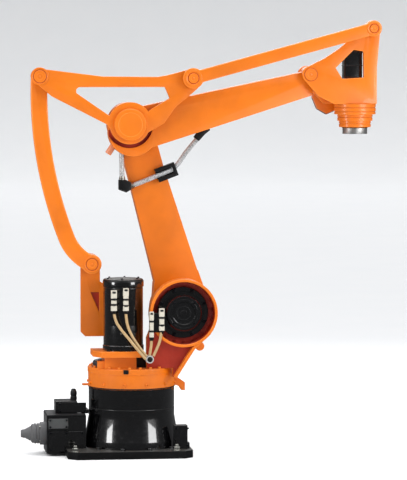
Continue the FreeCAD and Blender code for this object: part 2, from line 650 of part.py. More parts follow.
def make_wrist_motor():
    body = new_body("wrist_motor", WRIST_X, ARM_MIDDLE, WRIST_Z)
    half, x = "wrist_motor_half", "wrist_motor_x"
    upright_block(body, f"{x} - {half}", f"{x} + {half}", f"0 - {half} + 8", f"{half} - 8", "-70",
                  "wrist_motor_top")


def make_wrist_ring(label, radius, high, low):
    body = new_body(label, f"{WRIST_X} + wrist_reach", ARM_MIDDLE, WRIST_Z)
    upright_disc(body, "0", "0", radius, f"0 - {low}", f"0 - {high}")


def make_wrist_gearbox():
    body = new_body("wrist_gearbox", f"{WRIST_X} + wrist_reach", ARM_MIDDLE, WRIST_Z)
    turned(body, [("0", "0 - wrist_floor"), ("ring_one_radius", "0 - wrist_floor"),
                  ("ring_one_radius", "0 - ring_one_low"), ("ring_two_radius", "0 - ring_one_low"),
                  ("ring_two_radius", "0 - ring_two_low"), ("0", "0 - ring_two_low")])


def make_tool_flange():
    """The turning flange: a 160 mm face with a pilot recess and six tapped holes."""
    body = new_body("tool_flange", f"{WRIST_X} + wrist_reach", ARM_MIDDLE, WRIST_Z)
    low, high = "0 - flange_low", "0 - ring_three_low - running_gap"
    upright_disc(body, "0", "0", "flange_radius", low, high)
    upright_bore(body, [("0", "0")], "tool_pilot_radius", low, f"{low} + tool_pilot_depth")
    places = []
    for index in range(6):
        angle = f"{60 * index} * 1 deg"
        places.append((f"tool_circle / 2 * cos( {angle} )", f"tool_circle / 2 * sin( {angle} )"))
    upright_bore(body, places, "tool_hole_radius", low, f"{low} + 22")


# ---------------------------------------------------------------- hoses and cables
def tube_solid(label, points, radius):
    """A hose's solid through the given points: straight runs joined by tangent arcs."""
    corners = [Vector(*point) for point in points]
    edges, start, total = [], corners[0], 0
    for index in range(1, len(corners) - 1):
        here = corners[index]
        back, ahead = corners[index - 1] - here, corners[index + 1] - here
        half_turn = (math.pi - back.getAngle(ahead)) / 2
        reach = 0.45 * min(back.Length, ahead.Length)
        bend = reach / math.tan(half_turn)
        enter, leave = here + back.normalize() * reach, here + ahead.normalize() * reach
        inward = (back + ahead).normalize()
        centre_distance = math.hypot(bend, reach)
        middle = here + inward * (centre_distance - bend)
        edges += [Part.LineSegment(start, enter).toShape(), arc_edge(enter, middle, leave)]
        total += (enter - start).Length + 2 * half_turn * bend
        start = leave
        print(label, "bend radius", round(bend))
    edges.append(Part.LineSegment(start, corners[-1]).toShape())
    total += (corners[-1] - start).Length
    path = Part.Wire(edges)
    first_run = corners[1] - corners[0]
    profile = Part.Wire(Part.makeCircle(radius, corners[0], first_run))
    solid = path.makePipeShell([profile], True, False)
    expected = math.pi * radius ** 2 * total
    print(label, "length", round(total), "volume error", round(solid.Volume / expected - 1, 4))
    return solid


def tube(label, routes, radius):
    """A node of one or more hoses that don't touch."""
    feature = document.addObject("Part::Feature", label)
    feature.Label = label
    feature.Shape = Part.Compound([tube_solid(label, points, radius) for points in routes])
    sub_parts.append(feature)


def make_hose_fittings():
    """On the link arm's rear edge: the angle fitting where the hose turns, and the socket above it."""
    body = new_body("hose_fittings")
    far, near = "link_near", "link_near - 46"
    side_plate(body, [("-78", "1700"), ("-30", "1682"), ("2", "1700"), ("2", "1748"), ("-30", "1764"),
                      ("-78", "1764")], far, near)
    side_plate(body, [("-76", "1968"), ("-42", "1968"), ("-42", "1992"), ("-76", "1992")], far, near)


def make_hose_guide():
    """The black guide that holds the hose at the link arm's front edge: two bars, a back and an end."""
    body = new_body("hose_guide", "228", "0", "1810", "-21")
    far, near = "link_near", "link_near - 46"
    side_plate(body, [("-62", "-45"), ("72", "-45"), ("72", "45"), ("-62", "45")], far, far + " - 4")
    side_plate(body, [("-62", "20"), ("50", "20"), ("50", "-20"), ("-62", "-20"), ("-62", "-45"),
                      ("72", "-45"), ("72", "45"), ("-62", "45")], far, near)


def make_arm_hose_fitting():
    """The black fitting under the upper arm that the hose runs up into."""
    body = new_body("arm_hose_fitting", ELBOW_X, "0", ELBOW_Z, "0 - arm_rise")

    def under_arm(along):
        """Just under the arm's lower edge, that far from the elbow."""
        return f"{along} * ( arm_low_rear - arm_low_front ) / ( arm_length - 15 ) - arm_low_rear - 0.3"

    side_plate(body, [("387", "-193"), ("411", "-227"), ("462", "-194"), ("500", "-178"),
                      ("500", under_arm(500)), ("418", under_arm(418))], "0", "-44")


# ---------------------------------------------------------------- building it all
make_base_plate()
make_base_column()
make_connector_box()
make_upper_box()
make_cable_gland()
make_supply_plug()
make_side_block()

make_turntable()
make_motor_plate()
make_swing_motor()
make_carousel_frame()
make_motor_adapter()
make_shoulder_motor()
make_rod_bracket()
make_carousel_stop("carousel_front_stop", "408", "-180", "716", "44", "132")
make_swing_motor_plugs()
make_shoulder_motor_plugs()
make_conduit_mouth()
tube("carousel_conduit", [[(-216, -150, 584.3), (-230, -92, 584.3), (-236, -30, 584.3), (-228, 36, 584.3),
                           (-200, 96, 584.3), (-150, 142, 584.3)]], 20)
tube("swing_motor_cables", [
    [(-61, -266, 941), (-60, -268, 872), (-30, -274, 790), (18, -277, 712), (70, -272, 650)],
    [(-137, -262, 941), (-133, -266, 885), (-96, -280, 825), (-46, -291, 765), (6, -292, 700),
     (63, -286, 632)]], 9)
tube("shoulder_motor_cables", [
    [(102, -278, 769), (101, -278, 728), (96, -274, 692), (91, -268, 655)],
    [(166, -276, 812), (161, -277, 765), (143, -275, 708), (115, -268, 650)]], 9)
make_pin("bracket_pin", HEEL_X, HEEL_Z, "pivot_pin_radius", "bracket_far", PIN_IN_ROD_NEAR)

make_link_arm()
make_elbow_gear()
make_elbow_shaft()
make_elbow_motor()
make_elbow_stop()
make_hose_fittings()
make_hose_guide()
tube("upright_hose", [[(-59, 38, 1968), (-56, 38, 1868), (-55, 38, 1764.3)]], 16)
tube("cross_hose", [[(2.5, 38, 1722), (95, 38, 1757), (186, 38, 1794), (272, 38, 1827)]], 16)

make_lever()
make_lever_cap()

make_pin("lever_rear_pin", f"{ELBOW_X} - lever_rear_x", f"{ELBOW_Z} + lever_rear_z", "pivot_pin_radius",
         PIN_IN_ROD_FAR, LEVER_NEAR)
make_pin("lever_front_pin", f"{ELBOW_X} + lever_front_x", f"{ELBOW_Z} + lever_front_z", "rod_pin_radius",
         LEVER_FAR, PIN_IN_TOP_ROD)

make_upper_arm()
make_arm_hose_fitting()
tube("elbow_hose", [[(301, 36, 1854), (347, 18, 1926), (396, -12, 1992), (424, -22, 2025)]], 16)
make_pin("wrist_pin", WRIST_X, WRIST_Z, "wrist_pin_radius", WRIST_PIN_FAR, WRIST_PIN_NEAR)
make_curved_rod()
make_top_rod()
make_pin("wrist_top_pin", f"{WRIST_X} + lever_front_x", f"{WRIST_Z} + lever_front_z", "rod_pin_radius",
         LEVER_FAR, PIN_IN_TOP_ROD)

make_wrist_plate()
make_wrist_block()
make_wrist_far_plate()
make_wrist_side_cover()
make_wrist_motor()
make_wrist_gearbox()
make_wrist_ring("wrist_lower_ring", "ring_three_radius", "ring_two_low", "ring_three_low")
make_tool_flange()

document.recompute()

# ---------------------------------------------------------------- checks and files
for item in document.Objects:
    if "Invalid" in item.State or "Error" in item.State:
        raise RuntimeError(f"{item.Label} failed: {item.State}")
for part in sub_parts:
    if part.Shape.isNull() or not part.Shape.isValid():
        raise RuntimeError(f"{part.Label} has no valid shape")
for before, after in cuts:
    if after.Shape.Volume > before.Shape.Volume - 1:
        raise RuntimeError(f"{after.Label} cuts nothing")

os.makedirs("parts", exist_ok=True)
for part in sub_parts:
    part.Shape.exportStep(f"parts/{part.Label}.step")
    box = part.Shape.BoundBox
    print(part.Label, len(part.Shape.Solids), [round(v) for v in (box.XMin, box.XMax, box.YMin, box.YMax,
                                                                   box.ZMin, box.ZMax)])
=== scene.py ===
# Palletising robot: the finish and the small parts of every piece, in the order it is put together.
# Metres, with +X forward along the arm, +Z up, and -Y the near side.
import math

import bmesh
import bpy
from mathutils import Matrix, Vector


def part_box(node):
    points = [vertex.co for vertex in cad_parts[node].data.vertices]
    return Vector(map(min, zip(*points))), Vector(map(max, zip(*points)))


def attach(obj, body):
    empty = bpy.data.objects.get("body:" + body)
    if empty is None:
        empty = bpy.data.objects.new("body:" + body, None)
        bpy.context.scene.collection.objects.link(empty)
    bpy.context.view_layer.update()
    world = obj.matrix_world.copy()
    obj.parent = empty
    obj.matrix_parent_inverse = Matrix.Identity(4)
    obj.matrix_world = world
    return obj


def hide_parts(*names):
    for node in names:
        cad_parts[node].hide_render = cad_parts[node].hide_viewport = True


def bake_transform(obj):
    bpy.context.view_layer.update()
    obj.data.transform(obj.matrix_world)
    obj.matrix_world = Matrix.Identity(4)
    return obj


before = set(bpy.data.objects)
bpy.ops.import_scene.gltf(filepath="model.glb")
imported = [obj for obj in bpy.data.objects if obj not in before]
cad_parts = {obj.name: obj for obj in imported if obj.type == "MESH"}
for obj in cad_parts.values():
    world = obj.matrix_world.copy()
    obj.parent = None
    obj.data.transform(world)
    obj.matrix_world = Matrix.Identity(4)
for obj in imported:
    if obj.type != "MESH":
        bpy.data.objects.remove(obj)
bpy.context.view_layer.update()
scene = bpy.context.scene

# ---------------------------------------------------------------- camera
# A long lens 20 m away, 7 degrees round from the machine's side and 3.5 degrees above level,
# so the arm is seen nearly square on and the parallel rods stay parallel.
SWING, RISE, DISTANCE, PICTURE_HEIGHT = math.radians(7), math.radians(3.5), 20.0, 3.110
AIM_RIGHT, AIM_UP = 0.4666, 1.3738
forward = Vector((math.sin(SWING) * math.cos(RISE), math.cos(SWING) * math.cos(RISE), -math.sin(RISE)))
right = Vector((math.cos(SWING), -math.sin(SWING), 0))
camera = bpy.data.objects.new("camera", bpy.data.cameras.new("camera"))
camera.location = right * AIM_RIGHT + right.cross(forward) * AIM_UP - forward * DISTANCE
camera.rotation_mode = "QUATERNION"
camera.rotation_quaternion = forward.to_track_quat("-Z", "Y")
camera.data.lens = camera.data.sensor_width * DISTANCE / PICTURE_HEIGHT
camera.data.clip_end = 200
scene.collection.objects.link(camera)
scene.camera = camera

# ---------------------------------------------------------------- studio
# A seamless pale floor that curves up into a low wall far away, under an overcast dome that is
# brighter overhead. Softboxes stand in front on each side, hang above and hang behind. The floor
# is hidden from reflections, so that the gloss black stays black.
FLOOR_RADIUS, WALL_SWEEP, WALL_HEIGHT = 40.0, 6.0, 9.0
LAMPS_AIM = Vector((0.35, -0.05, 1.1))


def linear(code):
    """A paint chip's sRGB hex code as linear red, green, blue and opacity."""
    parts = [int(code[i:i + 2], 16) / 255 for i in (0, 2, 4)]
    return [p / 12.92 if p <= 0.04045 else ((p + 0.055) / 1.055) ** 2.4 for p in parts] + [1.0]


def add(tree, kind, inputs=(), **settings):
    """Add a node with its settings; each input is a value, or another node's output to link."""
    node = tree.nodes.new(kind)
    for key, value in settings.items():
        setattr(node, key, value)
    for key, value in dict(inputs).items():
        if isinstance(value, bpy.types.NodeSocket):
            tree.links.new(value, node.inputs[key])
        else:
            node.inputs[key].default_value = value
    return node


def new_finish(name):
    """An empty material, its node tree, and the place on the object that its textures use."""
    finish = bpy.data.materials.new(name)
    finish.use_nodes = True
    tree = finish.node_tree
    tree.nodes.clear()
    return finish, tree, add(tree, "ShaderNodeTexCoord").outputs["Object"]


def noise(tree, place, scale, detail, roughness=0.5):
    """Fractal noise over a place, from about 0 to 1."""
    return add(tree, "ShaderNodeTexNoise", {"Vector": place, "Scale": scale, "Detail": detail,
                                            "Roughness": roughness}).outputs["Fac"]


def ranged(tree, value, start, end, low=0.0, high=1.0):
    """The stretch of a value from start to end, mapped to low to high and held there."""
    return add(tree, "ShaderNodeMapRange", {"Value": value, "From Min": start, "From Max": end,
                                            "To Min": low, "To Max": high}).outputs[0]


def mixed(tree, share, first, second):
    """A colour between two, by a share from 0 to 1."""
    return add(tree, "ShaderNodeMix", {"Factor": share, 6: first, 7: second}, data_type="RGBA").outputs[2]


def surfaced(finish, tree, inputs):
    """End a material's tree with a principled surface."""
    shader = add(tree, "ShaderNodeBsdfPrincipled", inputs)
    add(tree, "ShaderNodeOutputMaterial", {"Surface": shader.outputs[0]})
    return finish


def turned(name, profile, centre, axis, steps=96):
    """A turned form: profile is (radius, distance along the axis). One that starts off the axis is
    a hoop, whose last point joins its first."""
    if profile[0][0] > 0:
        profile = [*profile, profile[0]]
    form = bmesh.new()
    rings = []
    for radius, along in profile:
        if radius < 1e-6:
            rings.append([form.verts.new((0, 0, along))])
        else:
            angles = [2 * math.pi * i / steps for i in range(steps)]
            rings.append([form.verts.new((radius * math.cos(a), radius * math.sin(a), along))
                          for a in angles])
    for low, high in zip(rings, rings[1:]):
        for i in range(steps):
            corners = [low[i % len(low)], low[(i + 1) % len(low)],
                       high[(i + 1) % len(high)], high[i % len(high)]]
            form.faces.new(list(dict.fromkeys(corners)))
    bmesh.ops.remove_doubles(form, verts=form.verts, dist=1e-6)
    bmesh.ops.recalc_face_normals(form, faces=form.faces)
    turn = Vector(axis).to_track_quat("Z", "Y").to_matrix().to_4x4()
    form.transform(Matrix.Translation(centre) @ turn)
    return piece_from(form, name)


def piece_from(form, name):
    """Turn a bmesh into an object in the scene, shaded smooth."""
    mesh = bpy.data.meshes.new(name)
    form.to_mesh(mesh)
    form.free()
    mesh.shade_smooth()
    piece = bpy.data.objects.new(name, mesh)
    scene.collection.objects.link(piece)
    return piece


world = bpy.data.worlds.new("overcast_dome")
scene.world = world
world.use_nodes = True
sky = world.node_tree
sky.nodes.clear()
direction = add(sky, "ShaderNodeSeparateXYZ", {0: add(sky, "ShaderNodeTexCoord").outputs["Generated"]})
strength = ranged(sky, direction.outputs["Z"], 0.42, 0.92, 0.12, 1.70)
dome = add(sky, "ShaderNodeBackground", {"Color": linear("fbfcff"), "Strength": strength})
add(sky, "ShaderNodeOutputWorld", {"Surface": dome.outputs[0]})

sweep = [(FLOOR_RADIUS + WALL_SWEEP * math.sin(a), WALL_SWEEP * (1 - math.cos(a)))
         for a in (math.pi / 2 * i / 12 for i in range(13))]
studio_floor = turned("studio_floor", [(0, 0), (6, 0), *sweep, (FLOOR_RADIUS + WALL_SWEEP, WALL_HEIGHT)],
                      (0, 0, 0), (0, 0, 1))
studio_floor.visible_glossy = False
floor_paint, tree, place = new_finish("matt_pale_floor_paint")
mottle = mixed(tree, noise(tree, place, 1.5, 3.0), linear("f6f7f7"), linear("fafaf9"))
surfaced(floor_paint, tree, {"Base Color": mottle, "Roughness": 0.85, "Specular IOR Level": 0.15})
studio_floor.data.materials.append(floor_paint)

for name, place, wide, tall, watts in (("softbox_left", (-4.45, -2.3, 2.75), 1.35, 2.2, 112),
                                       ("softbox_right", (3.8, -3.3, 2.75), 2.0, 2.2, 134),
                                       ("softbox_top", (0.6, -1.2, 6.0), 4.0, 3.0, 80),
                                       ("softbox_back", (1.2, 5.0, 4.6), 4.0, 2.0, 130)):
    lamp = bpy.data.lights.new(name, "AREA")
    lamp.shape, lamp.size, lamp.size_y, lamp.energy = "RECTANGLE", wide, tall, watts
    softbox = bpy.data.objects.new(name, lamp)
    softbox.location = place
    softbox.rotation_mode = "QUATERNION"
    softbox.rotation_quaternion = (LAMPS_AIM - Vector(place)).to_track_quat("-Z", "Y")
    softbox.visible_camera = False
    scene.collection.objects.link(softbox)
scene.view_settings.view_transform = "Standard"

# ---------------------------------------------------------------- base plate
# The steel plate that the whole machine is bolted down by, flame cut and painted gloss black.
# Four M24 anchors with thick washers hold it to the floor.
def deeper(code, share):
    """A paint chip's colour, darkened to a share of itself."""
    return [part * share for part in linear(code)[:3]] + [1.0]


def enamel(name, paint, scuff, roughness, coat, dust, grit=0.012, depth=0.25):
    """Sprayed two-pack enamel on a casting: even colour with faint patches, the soft ripple of the
    casting under it, a clear gloss over it, scuffs, and a little workshop dust on faces that look up."""
    finish, tree, place = new_finish(name)
    patches = noise(tree, place, 3.2, 4.0, 0.55)
    marks = noise(tree, place, 34.0, 5.0, 0.7)
    ripple = noise(tree, place, 1 / grit, 2.0)
    base = mixed(tree, ranged(tree, patches, 0.32, 0.66), deeper(paint, 0.80), linear(paint))
    scuffed = mixed(tree, ranged(tree, marks, 0.60, 0.78, 0.0, 0.30), base, linear(scuff))
    facing = add(tree, "ShaderNodeSeparateXYZ", {0: add(tree, "ShaderNodeNewGeometry").outputs["Normal"]})
    settled = ranged(tree, facing.outputs["Z"], 0.75, 1.0, 0.0, dust)
    bump = add(tree, "ShaderNodeBump", {"Height": ripple, "Strength": depth, "Distance": 0.0009})
    return surfaced(finish, tree, {
        "Base Color": mixed(tree, settled, scuffed, linear("b9b4aa")),
        "Roughness": ranged(tree, marks, 0.35, 0.75, roughness, roughness + 0.14),
        "Normal": bump.outputs[0], "IOR": 1.42, "Coat Weight": coat, "Coat Roughness": 0.04, "Coat IOR": 1.6})


def plated(name, metal, roughness, grain, stretch=(1, 1, 1)):
    """A bare or plated metal surface: bright, with faint tool marks or the dull bloom of the plating."""
    finish, tree, place = new_finish(name)
    grained = add(tree, "ShaderNodeMapping", {"Vector": place, "Scale": stretch})
    bloom = noise(tree, grained.outputs[0], 1 / grain, 4.0)
    bump = add(tree, "ShaderNodeBump", {"Height": bloom, "Strength": 0.15, "Distance": 0.0003})
    return surfaced(finish, tree, {
        "Base Color": mixed(tree, bloom, deeper(metal, 0.72), linear(metal)), "Metallic": 1.0,
        "Roughness": ranged(tree, bloom, 0.3, 0.7, roughness - 0.05, roughness + 0.12),
        "Normal": bump.outputs[0]})


def bake(piece):
    """Apply a piece's modifiers to its mesh."""
    graph = bpy.context.evaluated_depsgraph_get()
    mesh = bpy.data.meshes.new_from_object(piece.evaluated_get(graph))
    piece.modifiers.clear()
    piece.data = mesh
    return piece


def ease_edges(piece, width, segments=3):
    """Round the sharp edges by width and keep the flat faces flat; the rounds take the second finish."""
    bevel = piece.modifiers.new("edges", "BEVEL")
    bevel.width, bevel.segments, bevel.limit_method = width, segments, "ANGLE"
    bevel.angle_limit = math.radians(29)
    bevel.miter_outer = "MITER_ARC"
    bevel.harden_normals = True
    # The rounds take the second finish. On the orange castings this is a lighter orange, partly thin paint and
    # partly a painted highlight.
    bevel.material = 1 if len(piece.data.materials) > 1 else -1
    return bake(piece)


def painted(piece, finishes):
    """Give a piece its finishes: the first on its faces, the second for its rounded edges."""
    for finish in finishes:
        piece.data.materials.append(finish)
    return piece


def settle(piece, body, slot, *nodes):
    """Fix a piece to its body and let it stand for its CAD nodes, which are hidden. The argument slot is not
    used.
    """
    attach(piece, body)
    if nodes:
        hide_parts(*nodes)
    return piece


def lathed(name, profile, centre, axis, steps, finishes, width, body, slot, *nodes):
    """A turned piece with its finishes on and its edges eased, fixed to its body."""
    piece = painted(turned(name, profile, centre, axis, steps), finishes)
    return settle(ease_edges(piece, width, 2), body, slot, *nodes)


def casting(name, node, body, slot, finishes, width):
    """A copy of a CAD node with its edges rounded as the foundry and the paint leave them."""
    form = bmesh.new()
    form.from_mesh(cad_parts[node].data)
    bmesh.ops.remove_doubles(form, verts=form.verts, dist=1e-5)
    bmesh.ops.dissolve_limit(form, angle_limit=math.radians(0.6), verts=form.verts, edges=form.edges)
    for face in form.faces:
        face.material_index = 0
    return settle(ease_edges(painted(piece_from(form, name), finishes), width), body, slot, node)


def new_tree(name, inputs):
    """A Geometry Nodes tree with named inputs, and its input node."""
    tree = bpy.data.node_groups.new(name, "GeometryNodeTree")
    for label, kind in inputs.items():
        tree.interface.new_socket(label, in_out="INPUT", socket_type="NodeSocket" + kind)
    tree.interface.new_socket("Geometry", in_out="OUTPUT", socket_type="NodeSocketGeometry")
    return tree, tree.nodes.new("NodeGroupInput")


def grown(name, tree, values, source=None):
    """A plain mesh object from a tree and its inputs; source is the curve or mesh it starts from."""
    start = source or bpy.data.objects.new(name + "_start", bpy.data.meshes.new(name + "_start"))
    if source is None:
        scene.collection.objects.link(start)
    modifier = start.modifiers.new("nodes", "NODES")
    modifier.node_group = tree
    for socket in tree.interface.items_tree:
        if socket.in_out == "INPUT" and socket.name in values:
            modifier[socket.identifier] = values[socket.name]
    graph = bpy.context.evaluated_depsgraph_get()
    mesh = bpy.data.meshes.new_from_object(start.evaluated_get(graph))
    bpy.data.objects.remove(start)
    mesh.name = name
    piece = bpy.data.objects.new(name, mesh)
    scene.collection.objects.link(piece)
    return piece


def bolt_form(name, across, head, washer=0.0, washer_thick=0.003, sides=6, socket=0.0):
    """One bolt head: a chamfered hexagon or a round head with a hexagon socket, on its washer."""
    form = bmesh.new()

    def prism(count, radii, turn=0.0):
        loops = [[form.verts.new((r * math.cos(turn + 2 * math.pi * i / count),
                                  r * math.sin(turn + 2 * math.pi * i / count), z)) for i in range(count)]
                 for r, z in radii]
        for low, high in zip(loops, loops[1:]):
            for i in range(count):
                form.faces.new((low[i], low[(i + 1) % count], high[(i + 1) % count], high[i]))
        form.faces.new(list(reversed(loops[0])))
        form.faces.new(loops[-1])

    base = washer_thick if washer else 0.0
    if washer:
        prism(24, [(washer, 0), (washer, washer_thick * 0.7), (washer - 0.001, washer_thick)])
    point = across / 2 / math.cos(math.pi / sides) if sides == 6 else across / 2
    chamfer = head * 0.16
    radii = [(point, base), (point, base + head - chamfer), (point * 0.88, base + head)]
    if socket:
        radii += [(socket, base + head), (socket * 0.96, base + head * 0.45)]
    prism(sides, radii)
    bolt = piece_from(form, name)
    bolt.data.polygons.foreach_set("use_smooth", [False] * len(bolt.data.polygons))
    scene.collection.objects.unlink(bolt)
    return bolt


LOOSE_TURN = 6.283


def spun(tree, given):
    """A turn about its own line for each bolt, as it happened to be tightened."""
    angle = add(tree, "FunctionNodeRandomValue", {3: LOOSE_TURN, "Seed": given.outputs["Seed"]},
                data_type="FLOAT")
    return add(tree, "ShaderNodeCombineXYZ", {"Z": angle.outputs[1]}).outputs[0]


def bolts_on(tree, given, points, facing, *moves):
    """End a tree with bolts on its points, moved as given, made real and in their finish."""
    bolt = add(tree, "GeometryNodeObjectInfo", {"Object": given.outputs["Bolt"]})
    shape = add(tree, "GeometryNodeInstanceOnPoints", {
        "Points": points, "Instance": bolt.outputs["Geometry"], "Rotation": facing})
    for move in moves:
        shape = add(tree, "GeometryNodeTransform", {"Geometry": shape.outputs[0], **move})
    solid = add(tree, "GeometryNodeRealizeInstances", {"Geometry": shape.outputs[0]})
    coated = add(tree, "GeometryNodeSetMaterial", {"Geometry": solid.outputs[0],
                                                   "Material": given.outputs["Finish"]})
    add(tree, "NodeGroupOutput", {0: coated.outputs[0]})


ring_tree, given = new_tree("bolts_on_a_circle", {
    "Bolt": "Object", "Count": "Int", "Circle radius": "Float", "First bolt": "Vector", "Turn": "Vector",
    "Centre": "Vector", "Seed": "Int", "Finish": "Material"})
circle = add(ring_tree, "GeometryNodeMeshCircle", {"Vertices": given.outputs["Count"],
                                                   "Radius": given.outputs["Circle radius"]})
bolts_on(ring_tree, given, circle.outputs[0], spun(ring_tree, given),
         {"Rotation": given.outputs["First bolt"]},
         {"Rotation": given.outputs["Turn"], "Translation": given.outputs["Centre"]})


def bolt_ring(name, body, slot, bolt, count, radius, centre, axis, finish, first=0.0, seed=1):
    """Bolts set evenly on a circle, heads towards axis, the first turned by the angle first in degrees."""
    turn = Vector(axis).to_track_quat("Z", "Y").to_euler()
    piece = grown(name, ring_tree, {
        "Bolt": bolt, "Count": count, "Circle radius": float(radius),
        "First bolt": [0.0, 0.0, math.radians(first)], "Turn": list(turn),
        "Centre": list(map(float, centre)), "Seed": seed, "Finish": finish})
    return settle(piece, body, slot)


row_tree, given = new_tree("bolts_at_corners", {
    "Bolt": "Object", "Columns": "Int", "Rows": "Int", "Width": "Float", "Height": "Float", "Turn": "Vector",
    "Centre": "Vector", "Seed": "Int", "Finish": "Material"})
grid = add(row_tree, "GeometryNodeMeshGrid", {
    "Vertices X": given.outputs["Columns"], "Vertices Y": given.outputs["Rows"],
    "Size X": given.outputs["Width"], "Size Y": given.outputs["Height"]})
bolts_on(row_tree, given, grid.outputs[0], spun(row_tree, given),
         {"Rotation": given.outputs["Turn"], "Translation": given.outputs["Centre"]})


def bolt_grid(name, body, slot, bolt, columns, rows, width, height, centre, axis, finish, seed=1):
    """Bolts at the crossings of a grid in the plane that axis stands on."""
    turn = Vector(axis).to_track_quat("Z", "Y").to_euler()
    piece = grown(name, row_tree, {
        "Bolt": bolt, "Columns": columns, "Rows": rows, "Width": float(width), "Height": float(height),
        "Turn": list(turn), "Centre": list(map(float, centre)), "Seed": seed, "Finish": finish})
    return settle(piece, body, slot)


black_enamel = enamel("gloss_black_enamel", "050506", "2a2a2b", 0.16, 1.0, 0.07)
black_edge = enamel("gloss_black_enamel_at_edges", "0e0f10", "4b4c4d", 0.30, 0.4, 0.05)
deck_enamel = enamel("satin_black_enamel_underfoot", "070708", "2c2c2c", 0.42, 0.0, 0.07)
BLACK_COATS = [black_enamel, black_edge]
zinc = plated("zinc_plated_steel", "b8b8b0", 0.34, 0.004)
black_oxide = plated("oiled_black_oxide_steel", "34353a", 0.38, 0.004)
m24_nut = bolt_form("m24_anchor_nut", 0.036, 0.020, washer=0.024, washer_thick=0.004)
m24_stud = bolt_form("m24_anchor_stud", 0.024, 0.040, sides=18)
m16_bolt = bolt_form("m16_bolt", 0.024, 0.010, washer=0.016)
m12_bolt = bolt_form("m12_bolt", 0.019, 0.008, washer=0.012, washer_thick=0.002)
m12_socket = bolt_form("m12_socket_screw", 0.018, 0.012, sides=18, socket=0.0052)
m8_socket = bolt_form("m8_socket_screw", 0.013, 0.008, sides=18, socket=0.0036)

casting("base_plate_painted", "base_plate", "base", "black_paint", [deck_enamel, black_edge], 0.004)
for name, form in (("anchor_nuts", m24_nut), ("anchor_studs", m24_stud)):
    bolt_grid(name, "base", "bright_steel", form, 2, 2, 0.650, 0.640, (-0.065, 0, 0.049), (0, 0, 1), zinc)

# ---------------------------------------------------------------- base column
# The fixed drum that the slewing bearing sits on: a grey-iron casting, turned on its seats, whose
# foot flares to the plate. Gloss black, with a shallow parting line round it.
COLUMN = [(0, 0.049), (0.305, 0.049), (0.305, 0.093), (0.3035, 0.0965), (0.2785, 0.240), (0.277, 0.246),
          (0.277, 0.2995), (0.2755, 0.301), (0.2755, 0.304), (0.277, 0.3055), (0.277, 0.428), (0.240, 0.428),
          (0.240, 0.4315), (0, 0.4315)]
lathed("base_drum", COLUMN, (0, 0, 0), (0, 0, 1), 128, BLACK_COATS, 0.0018,
       "base", "black_paint", "base_column")
bolt_ring("column_foot_bolts", "base", "black_paint", m16_bolt, 12, 0.332, (0, 0, 0.049), (0, 0, 1),
          black_enamel, 15)
bolt_ring("drum_screws", "base", "black_paint", m12_socket, 16, 0.262, (0, 0, 0.4275), (0, 0, 1),
          black_oxide, 4)

# ---------------------------------------------------------------- connector boxes
# Two welded sheet-steel boxes behind the drum, where the cables come in. The lower one has a
# bolted cover with a bare edge, and the gland and the multi-pole plug are moulded in nylon.
def plate_on(name, low, high, finishes, width, body, slot):
    """A flat plate between two corners with its edges eased."""
    form = bmesh.new()
    bmesh.ops.create_cube(form, size=1.0)
    middle = (Vector(low) + Vector(high)) / 2
    span = Vector(high) - Vector(low)
    form.transform(Matrix.Translation(middle) @ Matrix.Diagonal((*span, 1.0)))
    return settle(ease_edges(painted(piece_from(form, name), finishes), width), body, slot)


def moulded(name, colour, roughness, grain, depth, coat=0.0):
    """Injection-moulded plastic: an even colour with a fine spark-eroded grain and a soft sheen."""
    finish, tree, place = new_finish(name)
    patches = noise(tree, place, 22.0, 3.0)
    bump = add(tree, "ShaderNodeBump", {"Height": noise(tree, place, 1 / grain, 3.0), "Strength": depth,
                                        "Distance": 0.0004})
    return surfaced(finish, tree, {
        "Base Color": mixed(tree, patches, deeper(colour, 0.78), linear(colour)),
        "Roughness": ranged(tree, patches, 0.3, 0.7, roughness - 0.06, roughness + 0.08),
        "Normal": bump.outputs[0], "IOR": 1.46, "Coat Weight": coat, "Coat Roughness": 0.2})


def screwed_cover(name, screws, low, high, finishes, columns, inset):
    """A thin cover on the side of a box, held by two rows of screws that stand in from its edges."""
    plate_on(name, low, high, finishes, 0.0015, "base", "black_paint")
    outer = low[1] if low[1] < 0 else high[1]
    bolt_grid(screws, "base", "bright_steel", m8_socket, columns, 2, high[0] - low[0] - 2 * inset,
              high[2] - low[2] - 2 * inset, ((low[0] + high[0]) / 2, outer, (low[2] + high[2]) / 2),
              (0, math.copysign(1, outer), 0), black_oxide)


black_nylon = moulded("moulded_black_nylon", "101012", 0.46, 0.003, 0.3)
grey_nylon = moulded("moulded_grey_nylon", "5e5e5f", 0.5, 0.004, 0.35)
off_white = moulded("moulded_off_white_polycarbonate", "d2ccbc", 0.40, 0.004, 0.15, 0.2)
grey_cover = enamel("semi_gloss_grey_enamel", "494b4b", "8c8e90", 0.38, 0.2, 0.08)

casting("lower_connector_box", "connector_box", "base", "black_paint", BLACK_COATS, 0.005)
casting("upper_connector_box", "upper_box", "base", "black_paint", BLACK_COATS, 0.004)
screwed_cover("box_side_cover", "side_cover_screws", (-0.548, -0.1655, 0.180), (-0.424, -0.1595, 0.243),
              [grey_cover, grey_cover], 2, 0.010)
screwed_cover("box_service_cover", "service_cover_screws", (-0.545, -0.1635, 0.032),
              (-0.325, -0.1595, 0.160), BLACK_COATS, 3, 0.010)
screwed_cover("upper_box_cover", "upper_cover_screws", (-0.478, -0.0785, 0.272), (-0.300, -0.0745, 0.336),
              BLACK_COATS, 2, 0.009)
screwed_cover("box_far_cover", "far_cover_screws", (-0.545, 0.1495, 0.040), (-0.325, 0.1545, 0.240),
              BLACK_COATS, 3, 0.010)
plate_on("box_seal", (-0.557, -0.157, 0.2585), (-0.309, 0.147, 0.2665), [black_nylon, black_nylon], 0.001,
         "base", "black_plastic")

